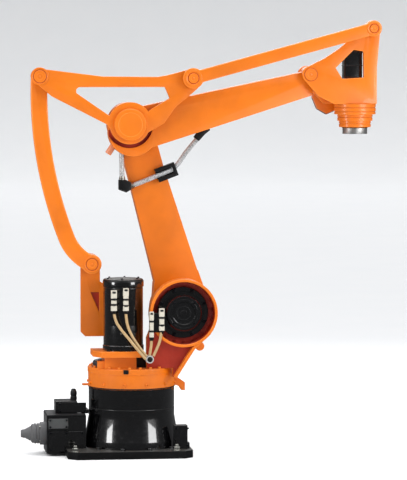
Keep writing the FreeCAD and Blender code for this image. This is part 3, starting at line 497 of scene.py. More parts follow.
casting("side_junction_block", "side_block", "base", "black_paint", BLACK_COATS, 0.005)
bolt_grid("side_block_screws", "base", "bright_steel", m8_socket, 2, 2, 0.076, 0.110, (0.301, -0.250, 0.125),
          (0, -1, 0), black_oxide)

GLAND = [(0, 0.346), (0.022, 0.346), (0.022, 0.366), (0.019, 0.369), (0.019, 0.374), (0.0215, 0.377),
         (0.0215, 0.396), (0.017, 0.408), (0.0125, 0.418), (0, 0.418)]
lathed("cable_gland_body", GLAND, (-0.375, 0, 0), (0, 0, 1), 12, [black_nylon], 0.001,
       "base", "black_plastic", "cable_gland")
PLUG = [(0, -0.002), (0.074, -0.002), (0.074, 0.034), (0.064, 0.036), (0.064, 0.042), (0.066, 0.044),
        (0.066, 0.052), (0.062, 0.054), (0.062, 0.060), (0.066, 0.062), (0.066, 0.070), (0.062, 0.072),
        (0.062, 0.086), (0.046, 0.096), (0.046, 0.104), (0.041, 0.106), (0.040, 0.114), (0.036, 0.116),
        (0.034, 0.126), (0.030, 0.128), (0.027, 0.144), (0.024, 0.158), (0, 0.158)]
lathed("supply_plug_body", PLUG, (-0.560, -0.020, 0.134), (-1, 0, 0), 72, [grey_nylon], 0.0012,
       "base", "pale_plastic", "supply_plug")
bolt_ring("plug_flange_screws", "base", "bright_steel", m8_socket, 4, 0.066, (-0.594, -0.020, 0.134),
          (-1, 0, 0), zinc, 45)

# ---------------------------------------------------------------- turntable
# The carousel's iron disc and its pedestal, cast and painted orange, on a black rubber seal.
# Screws round the rim hold a band, and the lugs that stop the turn have bare striking faces.
# The second colour is the orange darkened to a deep red: painted shade for the faces of recesses, grooves and
# crevices.
ORANGE, PAINTED_SHADE_ORANGE = "e37306", "a82606"
orange_enamel = enamel("orange_enamel_on_cast_iron", ORANGE, "d9792a", 0.36, 0.15, 0.05)
# The edge coat is lighter than the orange: partly paint worn thin on the rounds, partly a painted highlight
# along them.
orange_edge_and_highlight = enamel("orange_enamel_thin_and_painted_highlight_at_edges", "f08220", "eca764", 0.38, 0.15, 0.05)
# The deep red coat is the same paint as the orange, darkened to paint in shade where recesses, grooves and
# crevices are.
orange_painted_shade = enamel("orange_enamel_painted_shade_in_recesses", PAINTED_SHADE_ORANGE, "a2391a", 0.46, 0.05, 0.06)
ORANGE_COATS = [orange_enamel, orange_edge_and_highlight, orange_painted_shade]
rubber = moulded("black_nitrile_rubber", "101011", 0.72, 0.006, 0.4)
bare_steel = plated("machined_steel", "c4c4c2", 0.46, 0.010, (1, 1, 9))


def coat_where(piece, index, test):
    """Give the faces whose every corner passes the test another of the piece's finishes."""
    corners = piece.data.vertices
    for face in piece.data.polygons:
        if all(test(corners[i].co, face.normal) for i in face.vertices):
            face.material_index = index


casting("turntable_casting", "turntable", "carousel", "orange_paint", ORANGE_COATS, 0.004)
SEAL = [(0.236, 0.4322), (0.2795, 0.4322), (0.2815, 0.434), (0.2815, 0.438), (0.2795, 0.440),
        (0.236, 0.440)]
settle(painted(turned("slewing_seal", SEAL, (0, 0, 0), (0, 0, 1)), [rubber]), "carousel", "black_plastic")
BAND = [(0.279, 0.528), (0.2838, 0.530), (0.2838, 0.558), (0.281, 0.5605), (0.279, 0.5605)]
lathed("turntable_band", BAND, (0, 0, 0), (0, 0, 1), 128, ORANGE_COATS, 0.001, "carousel", "orange_paint")
rim_tree, given = new_tree("screws_round_a_rim", {
    "Bolt": "Object", "Count": "Int", "Rim radius": "Float", "First screw": "Vector", "Height": "Vector",
    "Finish": "Material"})
circle = add(rim_tree, "GeometryNodeMeshCircle", {"Vertices": given.outputs["Count"],
                                                  "Radius": given.outputs["Rim radius"]})
share = add(rim_tree, "ShaderNodeMath", {0: 2 * math.pi, 1: given.outputs["Count"]}, operation="DIVIDE")
angle = add(rim_tree, "ShaderNodeMath", {0: add(rim_tree, "GeometryNodeInputIndex").outputs[0],
                                         1: share.outputs[0]}, operation="MULTIPLY")
outward = add(rim_tree, "ShaderNodeCombineXYZ", {"Y": math.pi / 2, "Z": angle.outputs[0]})
bolts_on(rim_tree, given, circle.outputs[0], outward.outputs[0],
         {"Translation": given.outputs["Height"], "Rotation": given.outputs["First screw"]})
settle(grown("rim_screws", rim_tree, {
    "Bolt": m12_socket, "Count": 12, "Rim radius": 0.2795, "First screw": [0.0, 0.0, math.radians(15)],
    "Height": [0.0, 0.0, 0.462], "Finish": orange_edge_and_highlight}), "carousel", "orange_paint")
bolt_ring("bearing_screws", "carousel", "orange_paint", m12_socket, 24, 0.264, (0, 0, 0.5635), (0, 0, 1),
          orange_edge_and_highlight, 7)
plate_on("grease_port_cover", (-0.078, -0.2855, 0.536), (-0.046, -0.270, 0.562),
         [black_nylon, black_nylon], 0.001, "carousel", "black_plastic")
for side, rear_x, front_x, half, low_z, high_z in (("front", 0.3445, 0.3465, 0.022, 0.406, 0.448),
                                                   ("rear", -0.3205, -0.3185, 0.014, 0.442, 0.450)):
    plate_on(f"stop_face_{side}", (rear_x, -half, low_z), (front_x, half, high_z),
             [bare_steel, bare_steel], 0.0005, "carousel", "bright_steel")

# ---------------------------------------------------------------- swing motor
# The motor that turns the carousel: a finless totally enclosed servo motor in gloss black, bolted
# through a cast plate to the pedestal, with a rolled rim at its cover and a satin lid.
casting("motor_plate_casting", "motor_plate", "carousel", "orange_paint", ORANGE_COATS, 0.003)
SWING_MOTOR_X, SWING_MOTOR_Y = -0.064, -0.120
FRAME = [(0, 0.678), (0.132, 0.678), (0.132, 0.709), (0.127, 0.713), (0.127, 0.838), (0.1266, 0.8395),
         (0.1266, 0.8425), (0.127, 0.844), (0.127, 1.078), (0.1255, 1.080), (0.1255, 1.086),
         (0.132, 1.088), (0.132, 1.120), (0.126, 1.134), (0.118, 1.1375), (0.100, 1.1375),
         (0.098, 1.140), (0, 1.140)]
LID_FOOT = 1.119
motor = painted(turned("swing_motor_body", FRAME, (SWING_MOTOR_X, SWING_MOTOR_Y, 0), (0, 0, 1), 112),
                [*BLACK_COATS, deck_enamel])
coat_where(motor, 2, lambda at, to: at.z > LID_FOOT)
settle(ease_edges(motor, 0.002), "carousel", "black_paint", "swing_motor")
bolt_ring("swing_motor_cover_screws", "carousel", "black_paint", m8_socket, 6, 0.108,
          (SWING_MOTOR_X, SWING_MOTOR_Y, 1.1372), (0, 0, 1), black_oxide, 20)
bolt_ring("swing_motor_foot_bolts", "carousel", "black_paint", m12_bolt, 4, 0.150,
          (SWING_MOTOR_X, SWING_MOTOR_Y, 0.678), (0, 0, 1), black_oxide, 135)
bolt_grid("swing_motor_drain_plug", "carousel", "bright_steel", m8_socket, 1, 1, 0.0, 0.0,
          (-0.090, -0.2440, 0.792), (0, -1, 0), zinc)

# ---------------------------------------------------------------- shoulder frame
# The big cast housing that carries the arm: a cheek with a deep round mouth for the shoulder
# motor, a web down to the pedestal, and the drive's face towards the link arm.
shoulder_frame = casting("shoulder_frame_casting", "carousel_frame", "carousel", "orange_paint",
                         ORANGE_COATS, 0.004)
SHOULDER, MOUTH_RADIUS = Vector((0.313, 0, 0.920)), 0.2015
# The bore and floor of the mouth and the near face of the web take the deep red coat: painted shade in the
# recess.
coat_where(shoulder_frame, 2, lambda at, to: (
    -0.2585 < at.y < -0.12 and (Vector((at.x, 0, at.z)) - SHOULDER).length < MOUTH_RADIUS)
    or (abs(to.y + 1) < 0.1 and -0.215 < at.y < -0.12))
LIP = [(0.2005, 0.258), (0.2005, 0.2625), (0.2035, 0.2655), (0.2145, 0.2655), (0.2175, 0.2625),
       (0.2175, 0.258)]
lathed("mouth_lip", LIP, SHOULDER, (0, -1, 0), 128, ORANGE_COATS, 0.001, "carousel", "orange_paint")
# These bolts sit on the floor of the mouth and take the deep red of the painted shade there.
bolt_ring("shoulder_drive_bolts", "carousel", "orange_paint", m12_socket, 20, 0.190,
          SHOULDER + Vector((0, -0.158, 0)), (0, -1, 0), orange_painted_shade, 4)
BUFFER = [(0, 0.1615), (0.027, 0.1615), (0.027, 0.176), (0.029, 0.178), (0.029, 0.186), (0.027, 0.188),
          (0.027, 0.195), (0.022, 0.199), (0, 0.199)]
lathed("front_stop_buffer", BUFFER, (0.424, 0, 0.701), (0, -1, 0), 64, ORANGE_COATS, 0.001,
       "carousel", "orange_paint", "carousel_front_stop")

# ---------------------------------------------------------------- shoulder motor
# The motor that swings the link arm: it lies in the mouth of the frame on a black adapter ring,
# and its end cover is turned, with shallow concentric grooves.
ADAPTER = [(0, 0.1575), (0.165, 0.1575), (0.165, 0.181), (0.162, 0.185), (0.1345, 0.185), (0.1330, 0.182),
           (0, 0.182)]
COVER = [(0, 0.1585), (0.132, 0.1585), (0.132, 0.180), (0.117, 0.181), (0.117, 0.249), (0.108, 0.2598),
         (0.0935, 0.2598), (0.093, 0.2594), (0.0895, 0.2594), (0.089, 0.2598), (0.074, 0.2598), (0.070, 0.2510),
         (0.0455, 0.2510), (0.045, 0.2514), (0.0415, 0.2514), (0.041, 0.2510), (0.020, 0.2510), (0.018, 0.2530),
         (0, 0.2535)]
for name, profile, node in (("motor_adapter_ring", ADAPTER, "motor_adapter"),
                            ("shoulder_motor_body", COVER, "shoulder_motor")):
    lathed(name, profile, SHOULDER, (0, -1, 0), 112, BLACK_COATS, 0.0005, "carousel", "black_paint", node)
bolt_ring("adapter_bolts", "carousel", "black_paint", m12_bolt, 8, 0.149,
          SHOULDER + Vector((0, -0.1845, 0)), (0, -1, 0), black_oxide, 22.5)
bolt_ring("shoulder_motor_screws", "carousel", "black_paint", m8_socket, 4, 0.0925,
          SHOULDER + Vector((0, -0.2578, 0)), (0, -1, 0), black_oxide, 45)

# ---------------------------------------------------------------- motor plugs and cables
# Off-white bayonet plugs with black grip bands on the motors, and tan PUR cables down to a grey
# sleeve, where they go into the machine. A black ribbed conduit runs round the turntable's rear.
def upright_plug(name, x, y, low, high, half, bands):
    """A square-shouldered plug on the face of a motor, with its grip bands and cable boot."""
    form = bmesh.new()
    steps = [(half, low), (half, low + 0.030), (half * 0.90, low + 0.032), (half * 0.90, high - 0.052),
             (half, high - 0.050), (half, high)]
    loops = []
    for reach, z in steps:
        depth = reach * 0.92
        corner = reach * 0.35
        outline = [(reach - corner, -depth), (reach, -depth + corner), (reach, depth - corner),
                   (reach - corner, depth), (-reach + corner, depth), (-reach, depth - corner),
                   (-reach, -depth + corner), (-reach + corner, -depth)]
        loops.append([form.verts.new((x + dx, y + dy, z)) for dx, dy in outline])
    for lower, upper in zip(loops, loops[1:]):
        for i in range(8):
            form.faces.new((lower[i], lower[(i + 1) % 8], upper[(i + 1) % 8], upper[i]))
    form.faces.new(list(reversed(loops[0])))
    form.faces.new(loops[-1])
    bmesh.ops.recalc_face_normals(form, faces=form.faces)
    piece = painted(piece_from(form, name), [off_white])
    settle(ease_edges(piece, 0.0015, 2), "carousel", "pale_plastic")
    for number, share in enumerate(bands):
        z = low + (high - low) * share
        grip = [(half * 0.80, -0.006), (half * 1.07, -0.006), (half * 1.1, -0.004), (half * 1.1, 0.004),
                (half * 1.07, 0.006), (half * 0.80, 0.006)]
        ring = turned(f"{name}_band_{number}", grip, (x, y, z), (0, 0, 1), 40)
        settle(painted(ring, [black_nylon]), "carousel", "black_plastic")
    collar = [(0, -0.002), (0.0165, -0.002), (0.0165, 0.004), (0.0145, 0.006), (0.0145, 0.010),
              (0.0135, 0.012), (0.0115, 0.020), (0, 0.020)]
    boot = turned(f"{name}_boot", collar, (x, y, low), (0, 0, -1), 32)
    settle(painted(boot, [black_nylon]), "carousel", "black_plastic")
    return piece


for name, x, y, low, high, half, bands, node in (
        ("swing_plug_power", -0.137, -0.262, 0.941, 1.072, 0.0190, (0.30, 0.56, 0.90), "swing_motor_plugs"),
        ("swing_plug_signal", -0.061, -0.266, 0.941, 1.085, 0.0180, (0.22, 0.50, 0.92), None),
        ("shoulder_plug_signal", 0.1025, -0.278, 0.769, 0.935, 0.0142, (0.24, 0.62, 0.92),
         "shoulder_motor_rim_plug"),
        ("shoulder_plug_power", 0.168, -0.272, 0.812, 0.955, 0.0175, (0.24, 0.58, 0.90),
         "shoulder_motor_ring_plug")):
    plug = upright_plug(name, x, y, low, high, half, bands)
    if node:
        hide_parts(node)
plate_on("shoulder_plug_bracket", (0.090, -0.270, 0.800), (0.180, -0.235, 0.925), BLACK_COATS, 0.002,
         "carousel", "black_paint")

cord_tree, given = new_tree("ribbed_or_plain_sheath", {
    "Curve": "Geometry", "Radius": "Float", "Pitch": "Float", "Depth": "Float", "Finish": "Material"})
step = add(cord_tree, "ShaderNodeMath", {0: given.outputs["Pitch"], 1: 6.0}, operation="DIVIDE")
fine = add(cord_tree, "GeometryNodeResampleCurve", {"Curve": given.outputs["Curve"], "Length": step.outputs[0]},
           mode="LENGTH")
along = add(cord_tree, "GeometryNodeSplineParameter")
turns = add(cord_tree, "ShaderNodeMath", {0: along.outputs["Length"], 1: given.outputs["Pitch"]},
            operation="DIVIDE")
phase = add(cord_tree, "ShaderNodeMath", {0: turns.outputs[0], 1: 2 * math.pi}, operation="MULTIPLY")
wave = add(cord_tree, "ShaderNodeMath", {0: phase.outputs[0]}, operation="SINE")
rib = add(cord_tree, "ShaderNodeMath", {0: wave.outputs[0], 1: given.outputs["Depth"]}, operation="MULTIPLY")
swell = add(cord_tree, "ShaderNodeMath", {0: rib.outputs[0], 1: 1.0}, operation="ADD")
section = add(cord_tree, "GeometryNodeCurvePrimitiveCircle", {"Resolution": 24,
                                                              "Radius": given.outputs["Radius"]})
tube = add(cord_tree, "GeometryNodeCurveToMesh", {"Curve": fine.outputs[0], "Profile Curve": section.outputs[0],
                                                  "Scale": swell.outputs[0], "Fill Caps": True})
smooth = add(cord_tree, "GeometryNodeSetShadeSmooth", {"Geometry": tube.outputs[0]})
dyed = add(cord_tree, "GeometryNodeSetMaterial", {"Geometry": smooth.outputs[0],
                                                  "Material": given.outputs["Finish"]})
add(cord_tree, "NodeGroupOutput", {0: dyed.outputs[0]})


def run_of(name, points, radius, finish, pitch, depth):
    """A cable or hose along a smooth NURBS line through the route's points, ribbed or plain."""
    line = bpy.data.curves.new(name + "_line", "CURVE")
    line.dimensions = "3D"
    spline = line.splines.new("NURBS")
    spline.points.add(len(points) - 1)
    for point, place in zip(spline.points, points):
        point.co = (*place, 1.0)
    spline.order_u, spline.use_endpoint_u, spline.resolution_u = 3, True, 24
    source = bpy.data.objects.new(name + "_line", line)
    scene.collection.objects.link(source)
    return grown(name, cord_tree, {"Radius": radius, "Pitch": pitch, "Depth": depth, "Finish": finish}, source)


def sheath(name, colour, roughness):
    """Extruded cable sheath: a soft satin surface with faint flow marks and rubbed spots."""
    finish, tree, place = new_finish(name)
    flow = noise(tree, place, 1 / 0.02, 3.0)
    bump = add(tree, "ShaderNodeBump", {"Height": flow, "Strength": 0.2, "Distance": 0.0004})
    return surfaced(finish, tree, {
        "Base Color": mixed(tree, flow, deeper(colour, 0.7), linear(colour)), "Roughness": roughness,
        "Normal": bump.outputs[0], "IOR": 1.5, "Sheen Weight": 0.1, "Coat Weight": 0.15,
        "Coat Roughness": 0.3})


tan_sheath = sheath("extruded_tan_cable_sheath", "c2a271", 0.42)
conduit_black = sheath("corrugated_black_nylon_conduit", "26272a", 0.45)
pale_sleeve = moulded("moulded_pale_grey_sleeve", "b9bbb8", 0.45, 0.004, 0.2)
for name, points, nodes in (
        ("swing_signal_cable", [(-0.061, -0.266, 0.941), (-0.060, -0.268, 0.872), (-0.030, -0.274, 0.790),
                                (0.018, -0.277, 0.712), (0.070, -0.272, 0.650)], ["swing_motor_cables"]),
        ("swing_power_cable", [(-0.137, -0.262, 0.941), (-0.133, -0.266, 0.885), (-0.096, -0.280, 0.825),
                               (-0.046, -0.291, 0.765), (0.006, -0.292, 0.700), (0.063, -0.286, 0.632)], []),
        ("shoulder_signal_cable", [(0.102, -0.278, 0.769), (0.101, -0.278, 0.728), (0.096, -0.274, 0.692),
                                   (0.091, -0.268, 0.655)], ["shoulder_motor_cables"]),
        ("shoulder_power_cable", [(0.166, -0.276, 0.812), (0.161, -0.277, 0.765), (0.143, -0.275, 0.708),
                                  (0.115, -0.268, 0.650)], [])):
    settle(run_of(name, points, 0.009, tan_sheath, 0.012, 0.012), "carousel", "cable_sheath", *nodes)
SLEEVE_AT = (0.092, 0, 0.628)
SLEEVE = [(0, 0.208), (0.025, 0.208), (0.025, 0.240), (0.0265, 0.242), (0.0265, 0.250), (0.025, 0.252),
          (0.025, 0.2775), (0.0235, 0.2815), (0.019, 0.2815), (0.018, 0.276), (0, 0.276)]
lathed("cable_sleeve", SLEEVE, SLEEVE_AT, (0, -1, 0), 48, [pale_sleeve], 0.0008,
       "carousel", "black_plastic", "conduit_mouth")
# A thin black disc on the floor of the sleeve's shallow mouth: painted shade for the dark inside of the sleeve.
THROAT = [(0, 0.2755), (0.0178, 0.2755), (0.0165, 0.2770), (0, 0.2772)]
throat = turned("cable_sleeve_throat", THROAT, SLEEVE_AT, (0, -1, 0), 32)
settle(painted(throat, [black_nylon]), "carousel", "black_plastic")
plate_on("cable_duct", (0.008, -0.150, 0.566), (0.082, 0.020, 0.640), [black_nylon, black_nylon], 0.003,
         "carousel", "black_plastic")
CONDUIT_Z = 0.5843
conduit = run_of("turntable_conduit", [(x, y, CONDUIT_Z) for x, y in (
    (-0.216, -0.150), (-0.230, -0.092), (-0.236, -0.030), (-0.228, 0.036), (-0.200, 0.096), (-0.150, 0.142))],
                 0.0188, conduit_black, 0.011, 0.055)
settle(conduit, "carousel", "black_plastic", "carousel_conduit")

# ---------------------------------------------------------------- rod bracket
# The cast post behind the swing motor that holds the foot of the curved rod, with a thin web in
# its small window. Its steel pin runs through both, and a painted cap with a grease nipple closes
# each end.
casting("rod_bracket_casting", "rod_bracket", "carousel", "orange_paint", ORANGE_COATS, 0.004)
# The web is a plate that closes the window, in the deep red coat: painted shade inside the window.
plate_on("rod_bracket_web", (-0.288, 0.030, 0.900), (-0.200, 0.044, 1.062),
         [orange_painted_shade, orange_painted_shade], 0.001, "carousel", "orange_paint")
casting("bracket_pin_turned", "bracket_pin", "carousel", "bright_steel", [bare_steel, bare_steel], 0.001)
bolt_grid("bracket_foot_bolts", "carousel", "orange_paint", m12_bolt, 2, 1, 0.110, 0.0, (-0.110, 0.001, 0.564),
          (0, 0, 1), black_oxide, 4)


def pin_cap(name, at, face, radius, axis, body, proud=0.006):
    """A turned cap over a pin's end, with a bead round it and a grease nipple in the middle; the bead is
    coloured deep red as painted shade where the cap meets the face.
    """
    centre = (at[0], face, at[1])
    dome = [(0, 0), (radius, 0), (radius, proud * 0.6), (radius * 0.93, proud), (radius * 0.52, proud),
            (radius * 0.48, proud * 0.72), (0.0075, proud * 0.72), (0.007, proud * 1.1),
            (0.004, proud * 1.2), (0.0035, proud * 1.8), (0, proud * 1.9)]
    lathed(name, dome, centre, axis, 64, ORANGE_COATS, 0.0008, body, "orange_paint")
    bead = [(radius * 0.98, -0.001), (radius + 0.003, -0.001), (radius + 0.003, 0.0012),
            (radius * 0.98, 0.0014)]
    # The bead takes the deep red coat: a ring of painted shade where the cap meets the face.
    settle(painted(turned(name + "_seal", bead, centre, axis, 64), [orange_painted_shade]), body, "orange_paint")


HEEL, ELBOW, WRIST = (-0.263, 1.228), (-0.021048, 2.124538), (1.146344, 2.442806)
LEVER_REAR, LEVER_FRONT, WRIST_TOP = (-0.597048, 2.432538), (0.380952, 2.419538), (1.548344, 2.737806)
pin_cap("heel_pin_cap", HEEL, -0.112, 0.036, (0, -1, 0), "curved_rod")
pin_cap("heel_pin_nut", HEEL, 0.054, 0.032, (0, 1, 0), "carousel")

# ---------------------------------------------------------------- link arm
# The long lower arm, a hollow iron casting painted orange, which hangs between the shoulder drive
# and the elbow. Covers on its far side close the drives; its near face is left plain.
casting("link_arm_casting", "link_arm", "link_arm", "orange_paint", ORANGE_COATS, 0.006)
casting("elbow_gear_housing", "elbow_gear", "link_arm", "orange_paint", ORANGE_COATS, 0.002)
casting("elbow_shaft_turned", "elbow_shaft", "link_arm", "bright_steel", [bare_steel, bare_steel], 0.001)
# The gear bolts take the deep red coat: painted shade where they sit in the elbow.
bolt_ring("elbow_gear_bolts", "link_arm", "orange_paint", m12_socket, 16, 0.104, (ELBOW[0], 0.0092, ELBOW[1]),
          (0, -1, 0), orange_painted_shade, 6)
FAR_COVER = [(0, 0.189), (0.150, 0.189), (0.150, 0.196), (0.146, 0.200), (0.118, 0.200), (0.114, 0.197),
             (0.062, 0.197), (0.058, 0.2035), (0, 0.2035)]
lathed("shoulder_far_cover", FAR_COVER, SHOULDER, (0, 1, 0), 112, ORANGE_COATS, 0.001,
       "link_arm", "orange_paint")
bolt_ring("shoulder_far_bolts", "link_arm", "orange_paint", m12_bolt, 12, 0.132,
          SHOULDER + Vector((0, 0.1995, 0)), (0, 1, 0), black_oxide, 10)
ELBOW_MOTOR = [(0, 0.1895), (0.088, 0.1895), (0.088, 0.206), (0.0735, 0.209), (0.072, 0.212),
               (0.072, 0.268), (0.0708, 0.2695), (0.0708, 0.2725), (0.072, 0.274), (0.072, 0.330),
               (0.066, 0.336), (0.060, 0.338), (0.060, 0.398), (0.054, 0.408), (0.036, 0.4105),
               (0.034, 0.412), (0, 0.412)]
lathed("elbow_motor_body", ELBOW_MOTOR, (ELBOW[0], 0, ELBOW[1]), (0, 1, 0), 96, BLACK_COATS, 0.0012,
       "link_arm", "black_paint", "elbow_motor")
bolt_ring("elbow_motor_bolts", "link_arm", "black_paint", m8_socket, 4, 0.080, (ELBOW[0], 0.2065, ELBOW[1]),
          (0, 1, 0), black_oxide, 45)
ARM_LEAN, FAR_FACE = math.radians(15.5), Vector((0, 0.190, 0))
arm_line = Vector((-math.sin(ARM_LEAN), 0, math.cos(ARM_LEAN)))
for number, reach in enumerate((0.32, 0.56, 0.80)):
    middle = SHOULDER + arm_line * reach + FAR_FACE
    disc = [(0, -0.001), (0.034, -0.001), (0.034, 0.004), (0.031, 0.006), (0, 0.006)]
    lathed(f"far_side_plug_{number}", disc, middle, (0, 1, 0), 48, ORANGE_COATS, 0.0008,
           "link_arm", "orange_paint")
    bolt_grid(f"far_side_plug_screw_{number}", "link_arm", "orange_paint", m12_socket, 1, 1, 0.0, 0.0,
              middle + Vector((0, 0.0055, 0)), (0, 1, 0), black_oxide)
# A salmon orange for the elbow stop rod and the rounds of the wrist side cover: rubbed paint, with the orange
# reflected in bare steel painted into its colour.
orange_worn_and_reflection = enamel("orange_enamel_rubbed_with_painted_reflection", "dd8f68", "e8b9a0", 0.40, 0.1, 0.05)
casting("elbow_stop_rod", "elbow_stop", "link_arm", "orange_paint", [orange_worn_and_reflection, orange_edge_and_highlight], 0.003)

# ---------------------------------------------------------------- hoses on the link arm
# Steel-braided air and signal hose along the near face: silver grey with a clear jacket, in black
# nylon corner fittings, through a black guide that keeps it off the casting.
def braided(name, silver, gap, pitch):
    """Braided hose under a clear jacket: pale wires over a darker core, with a soft bright line."""
    finish, tree, place = new_finish(name)
    wires = add(tree, "ShaderNodeTexVoronoi", {"Vector": place, "Scale": 1 / pitch},
                feature="DISTANCE_TO_EDGE")
    share = ranged(tree, wires.outputs["Distance"], 0.02, 0.16)
    bump = add(tree, "ShaderNodeBump", {"Height": share, "Strength": 0.35, "Distance": 0.0006})
    return surfaced(finish, tree, {
        "Base Color": mixed(tree, share, linear(gap), linear(silver)), "Metallic": 0.30,
        "Roughness": 0.36, "Normal": bump.outputs[0], "Coat Weight": 0.4, "Coat Roughness": 0.15})


silver_braid = braided("steel_braided_hose", "d9dbdc", "6f7275", 0.007)
HOSE_RADIUS, BRAID_PITCH, BRAID_DEPTH, HOSE_NUT_RADIUS = 0.0155, 0.013, 0.035, 0.0205
settle(run_of("upright_hose_braided",
              [(-0.059, 0.038, 1.968), (-0.056, 0.038, 1.868), (-0.055, 0.038, 1.7643)],
              HOSE_RADIUS, silver_braid, BRAID_PITCH, BRAID_DEPTH), "link_arm", "grey_hose", "upright_hose")
settle(run_of("cross_hose_braided", [(0.0025, 0.038, 1.722), (0.095, 0.038, 1.757), (0.186, 0.038, 1.794),
                                     (0.272, 0.038, 1.827)],
              HOSE_RADIUS, silver_braid, BRAID_PITCH, BRAID_DEPTH), "link_arm", "grey_hose", "cross_hose")
casting("hose_corner_fittings", "hose_fittings", "link_arm", "black_plastic", [black_nylon, black_nylon], 0.003)
casting("hose_guide_moulding", "hose_guide", "link_arm", "black_plastic", [black_nylon, black_nylon], 0.003)
NUT = [(0, -0.004), (HOSE_NUT_RADIUS, -0.004), (HOSE_NUT_RADIUS, 0.012), (HOSE_NUT_RADIUS * 0.9, 0.014),
       (HOSE_NUT_RADIUS * 0.82, 0.022), (0, 0.022)]
for name, centre, axis in (("hose_nut_top", (-0.059, 0.038, 1.966), (0, 0, -1)),
                           ("hose_nut_upper", (-0.055, 0.038, 1.7643), (0, 0, 1)),
                           ("hose_nut_cross", (0.0025, 0.038, 1.722), (0.93, 0, 0.36))):
    lathed(name, NUT, centre, axis, 12, [zinc], 0.0006, "link_arm", "bright_steel")

# ---------------------------------------------------------------- lever
# The three-cornered rocking lever at the elbow, an open cast frame, with a plain round cap over
# the elbow bearing. The curved rod pulls its rear corner and the top rod leaves its front one.
casting("lever_casting", "lever", "lever", "orange_paint", ORANGE_COATS, 0.005)
CAP = [(0, 0.1595), (0.103, 0.1595), (0.103, 0.182), (0.098, 0.1885), (0.092, 0.190), (0.078, 0.190),
       (0.0765, 0.1885), (0.075, 0.190), (0, 0.190)]
lathed("elbow_cap", CAP, (ELBOW[0], 0, ELBOW[1]), (0, -1, 0), 112, ORANGE_COATS, 0.0015,
       "lever", "orange_paint", "lever_cap")
casting("lever_rear_pin_turned", "lever_rear_pin", "lever", "bright_steel", [bare_steel, bare_steel], 0.001)
casting("lever_front_pin_turned", "lever_front_pin", "lever", "bright_steel", [bare_steel, bare_steel], 0.001)
pin_cap("lever_rear_cap", LEVER_REAR, -0.160, 0.040, (0, -1, 0), "lever")
pin_cap("lever_front_cap", LEVER_FRONT, -0.208, 0.032, (0, -1, 0), "top_rod")

# ---------------------------------------------------------------- upper arm
# The tapering cast arm from elbow to wrist, orange, with a curved groove cut round the elbow in
# its near face for the stops. A black fitting under it takes the hose, which curves up past the elbow and is
# cut in two at its middle.
upper_arm = casting("upper_arm_casting", "upper_arm", "upper_arm", "orange_paint", ORANGE_COATS, 0.006)
# The faces of the groove round the elbow take the deep red coat: painted shade in the groove.
coat_where(upper_arm, 2, lambda at, to: -0.110 < at.y < -0.070 and
           0.120 < math.hypot(at.x - ELBOW[0], at.z - ELBOW[1]) < 0.156)
casting("wrist_pin_turned", "wrist_pin", "upper_arm", "bright_steel", [bare_steel, bare_steel], 0.001)
casting("arm_hose_elbow", "arm_hose_fitting", "upper_arm", "black_plastic", [black_nylon, black_nylon], 0.003)
ELBOW_HOSE = [(0.270, 0.037, 1.832), (0.301, 0.035, 1.852), (0.347, 0.018, 1.926), (0.396, -0.012, 1.992),
              (0.424, -0.022, 2.025)]
elbow_hose = run_of("elbow_hose_braided", ELBOW_HOSE, HOSE_RADIUS, silver_braid, BRAID_PITCH, BRAID_DEPTH)
HALFWAY = 1.935


def half_of(source, name, keep_low):
    """The part of the hose below or above its middle, cut across with a closed end."""
    form = bmesh.new()
    form.from_mesh(source.data)
    side = -1 if keep_low else 1
    cut = bmesh.ops.bisect_plane(form, geom=form.verts[:] + form.edges[:] + form.faces[:],
                                 plane_co=(0, 0, HALFWAY), plane_no=(0, 0, -side), clear_outer=True)
    edges = [e for e in cut["geom_cut"] if isinstance(e, bmesh.types.BMEdge)]
    bmesh.ops.holes_fill(form, edges=edges)
    return painted(piece_from(form, name), [silver_braid])


lower_half = half_of(elbow_hose, "elbow_hose_lower", True)
upper_half = half_of(elbow_hose, "elbow_hose_upper", False)
bpy.data.objects.remove(elbow_hose)
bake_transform(lower_half)
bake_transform(upper_half)
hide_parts("elbow_hose")

# ---------------------------------------------------------------- parallel rods
# Two cast rods that keep the wrist level: the bent one from the bracket up to the lever, and the
# straight one along the top to the wrist. Each has a bushed eye at both ends.
casting("curved_rod_casting", "curved_rod", "curved_rod", "orange_paint", ORANGE_COATS, 0.008)
casting("top_rod_casting", "top_rod", "top_rod", "orange_paint", ORANGE_COATS, 0.006)
for name, at, face, inner, outer, body in (("rear_eye", LEVER_REAR, -0.160, 0.043, 0.058, "lever"),
                                           ("top_rod_rear_eye", LEVER_FRONT, -0.208, 0.037, 0.056, "top_rod"),
                                           ("top_rod_front_eye", WRIST_TOP, -0.208, 0.031, 0.046, "top_rod"),
                                           ("heel_eye", HEEL, -0.112, 0.040, 0.054, "curved_rod")):
    collar = [(inner, -0.001), (outer, -0.001), (outer - 0.001, 0.0025), (outer - 0.003, 0.0035),
              (inner + 0.001, 0.0035)]
    boss = turned(name + "_boss", collar, (at[0], face, at[1]), (0, -1, 0), 80)
    settle(painted(boss, ORANGE_COATS), body, "orange_paint")

# ---------------------------------------------------------------- wrist
# Two cast side plates on a block, with the tool-turning motor upright between them and its gear
# housing below: grooved orange rings that step down to the steel flange.
casting("wrist_near_plate", "wrist_plate", "wrist", "orange_paint", ORANGE_COATS, 0.005)
casting("wrist_block_casting", "wrist_block", "wrist", "orange_paint", ORANGE_COATS, 0.003)
casting("wrist_far_plate_casting", "wrist_far_plate", "wrist", "orange_paint", ORANGE_COATS, 0.005)
side_cover = casting("wrist_side_cover_casting", "wrist_side_cover", "wrist", "orange_paint",
                     [orange_enamel, orange_worn_and_reflection, black_nylon], 0.006)
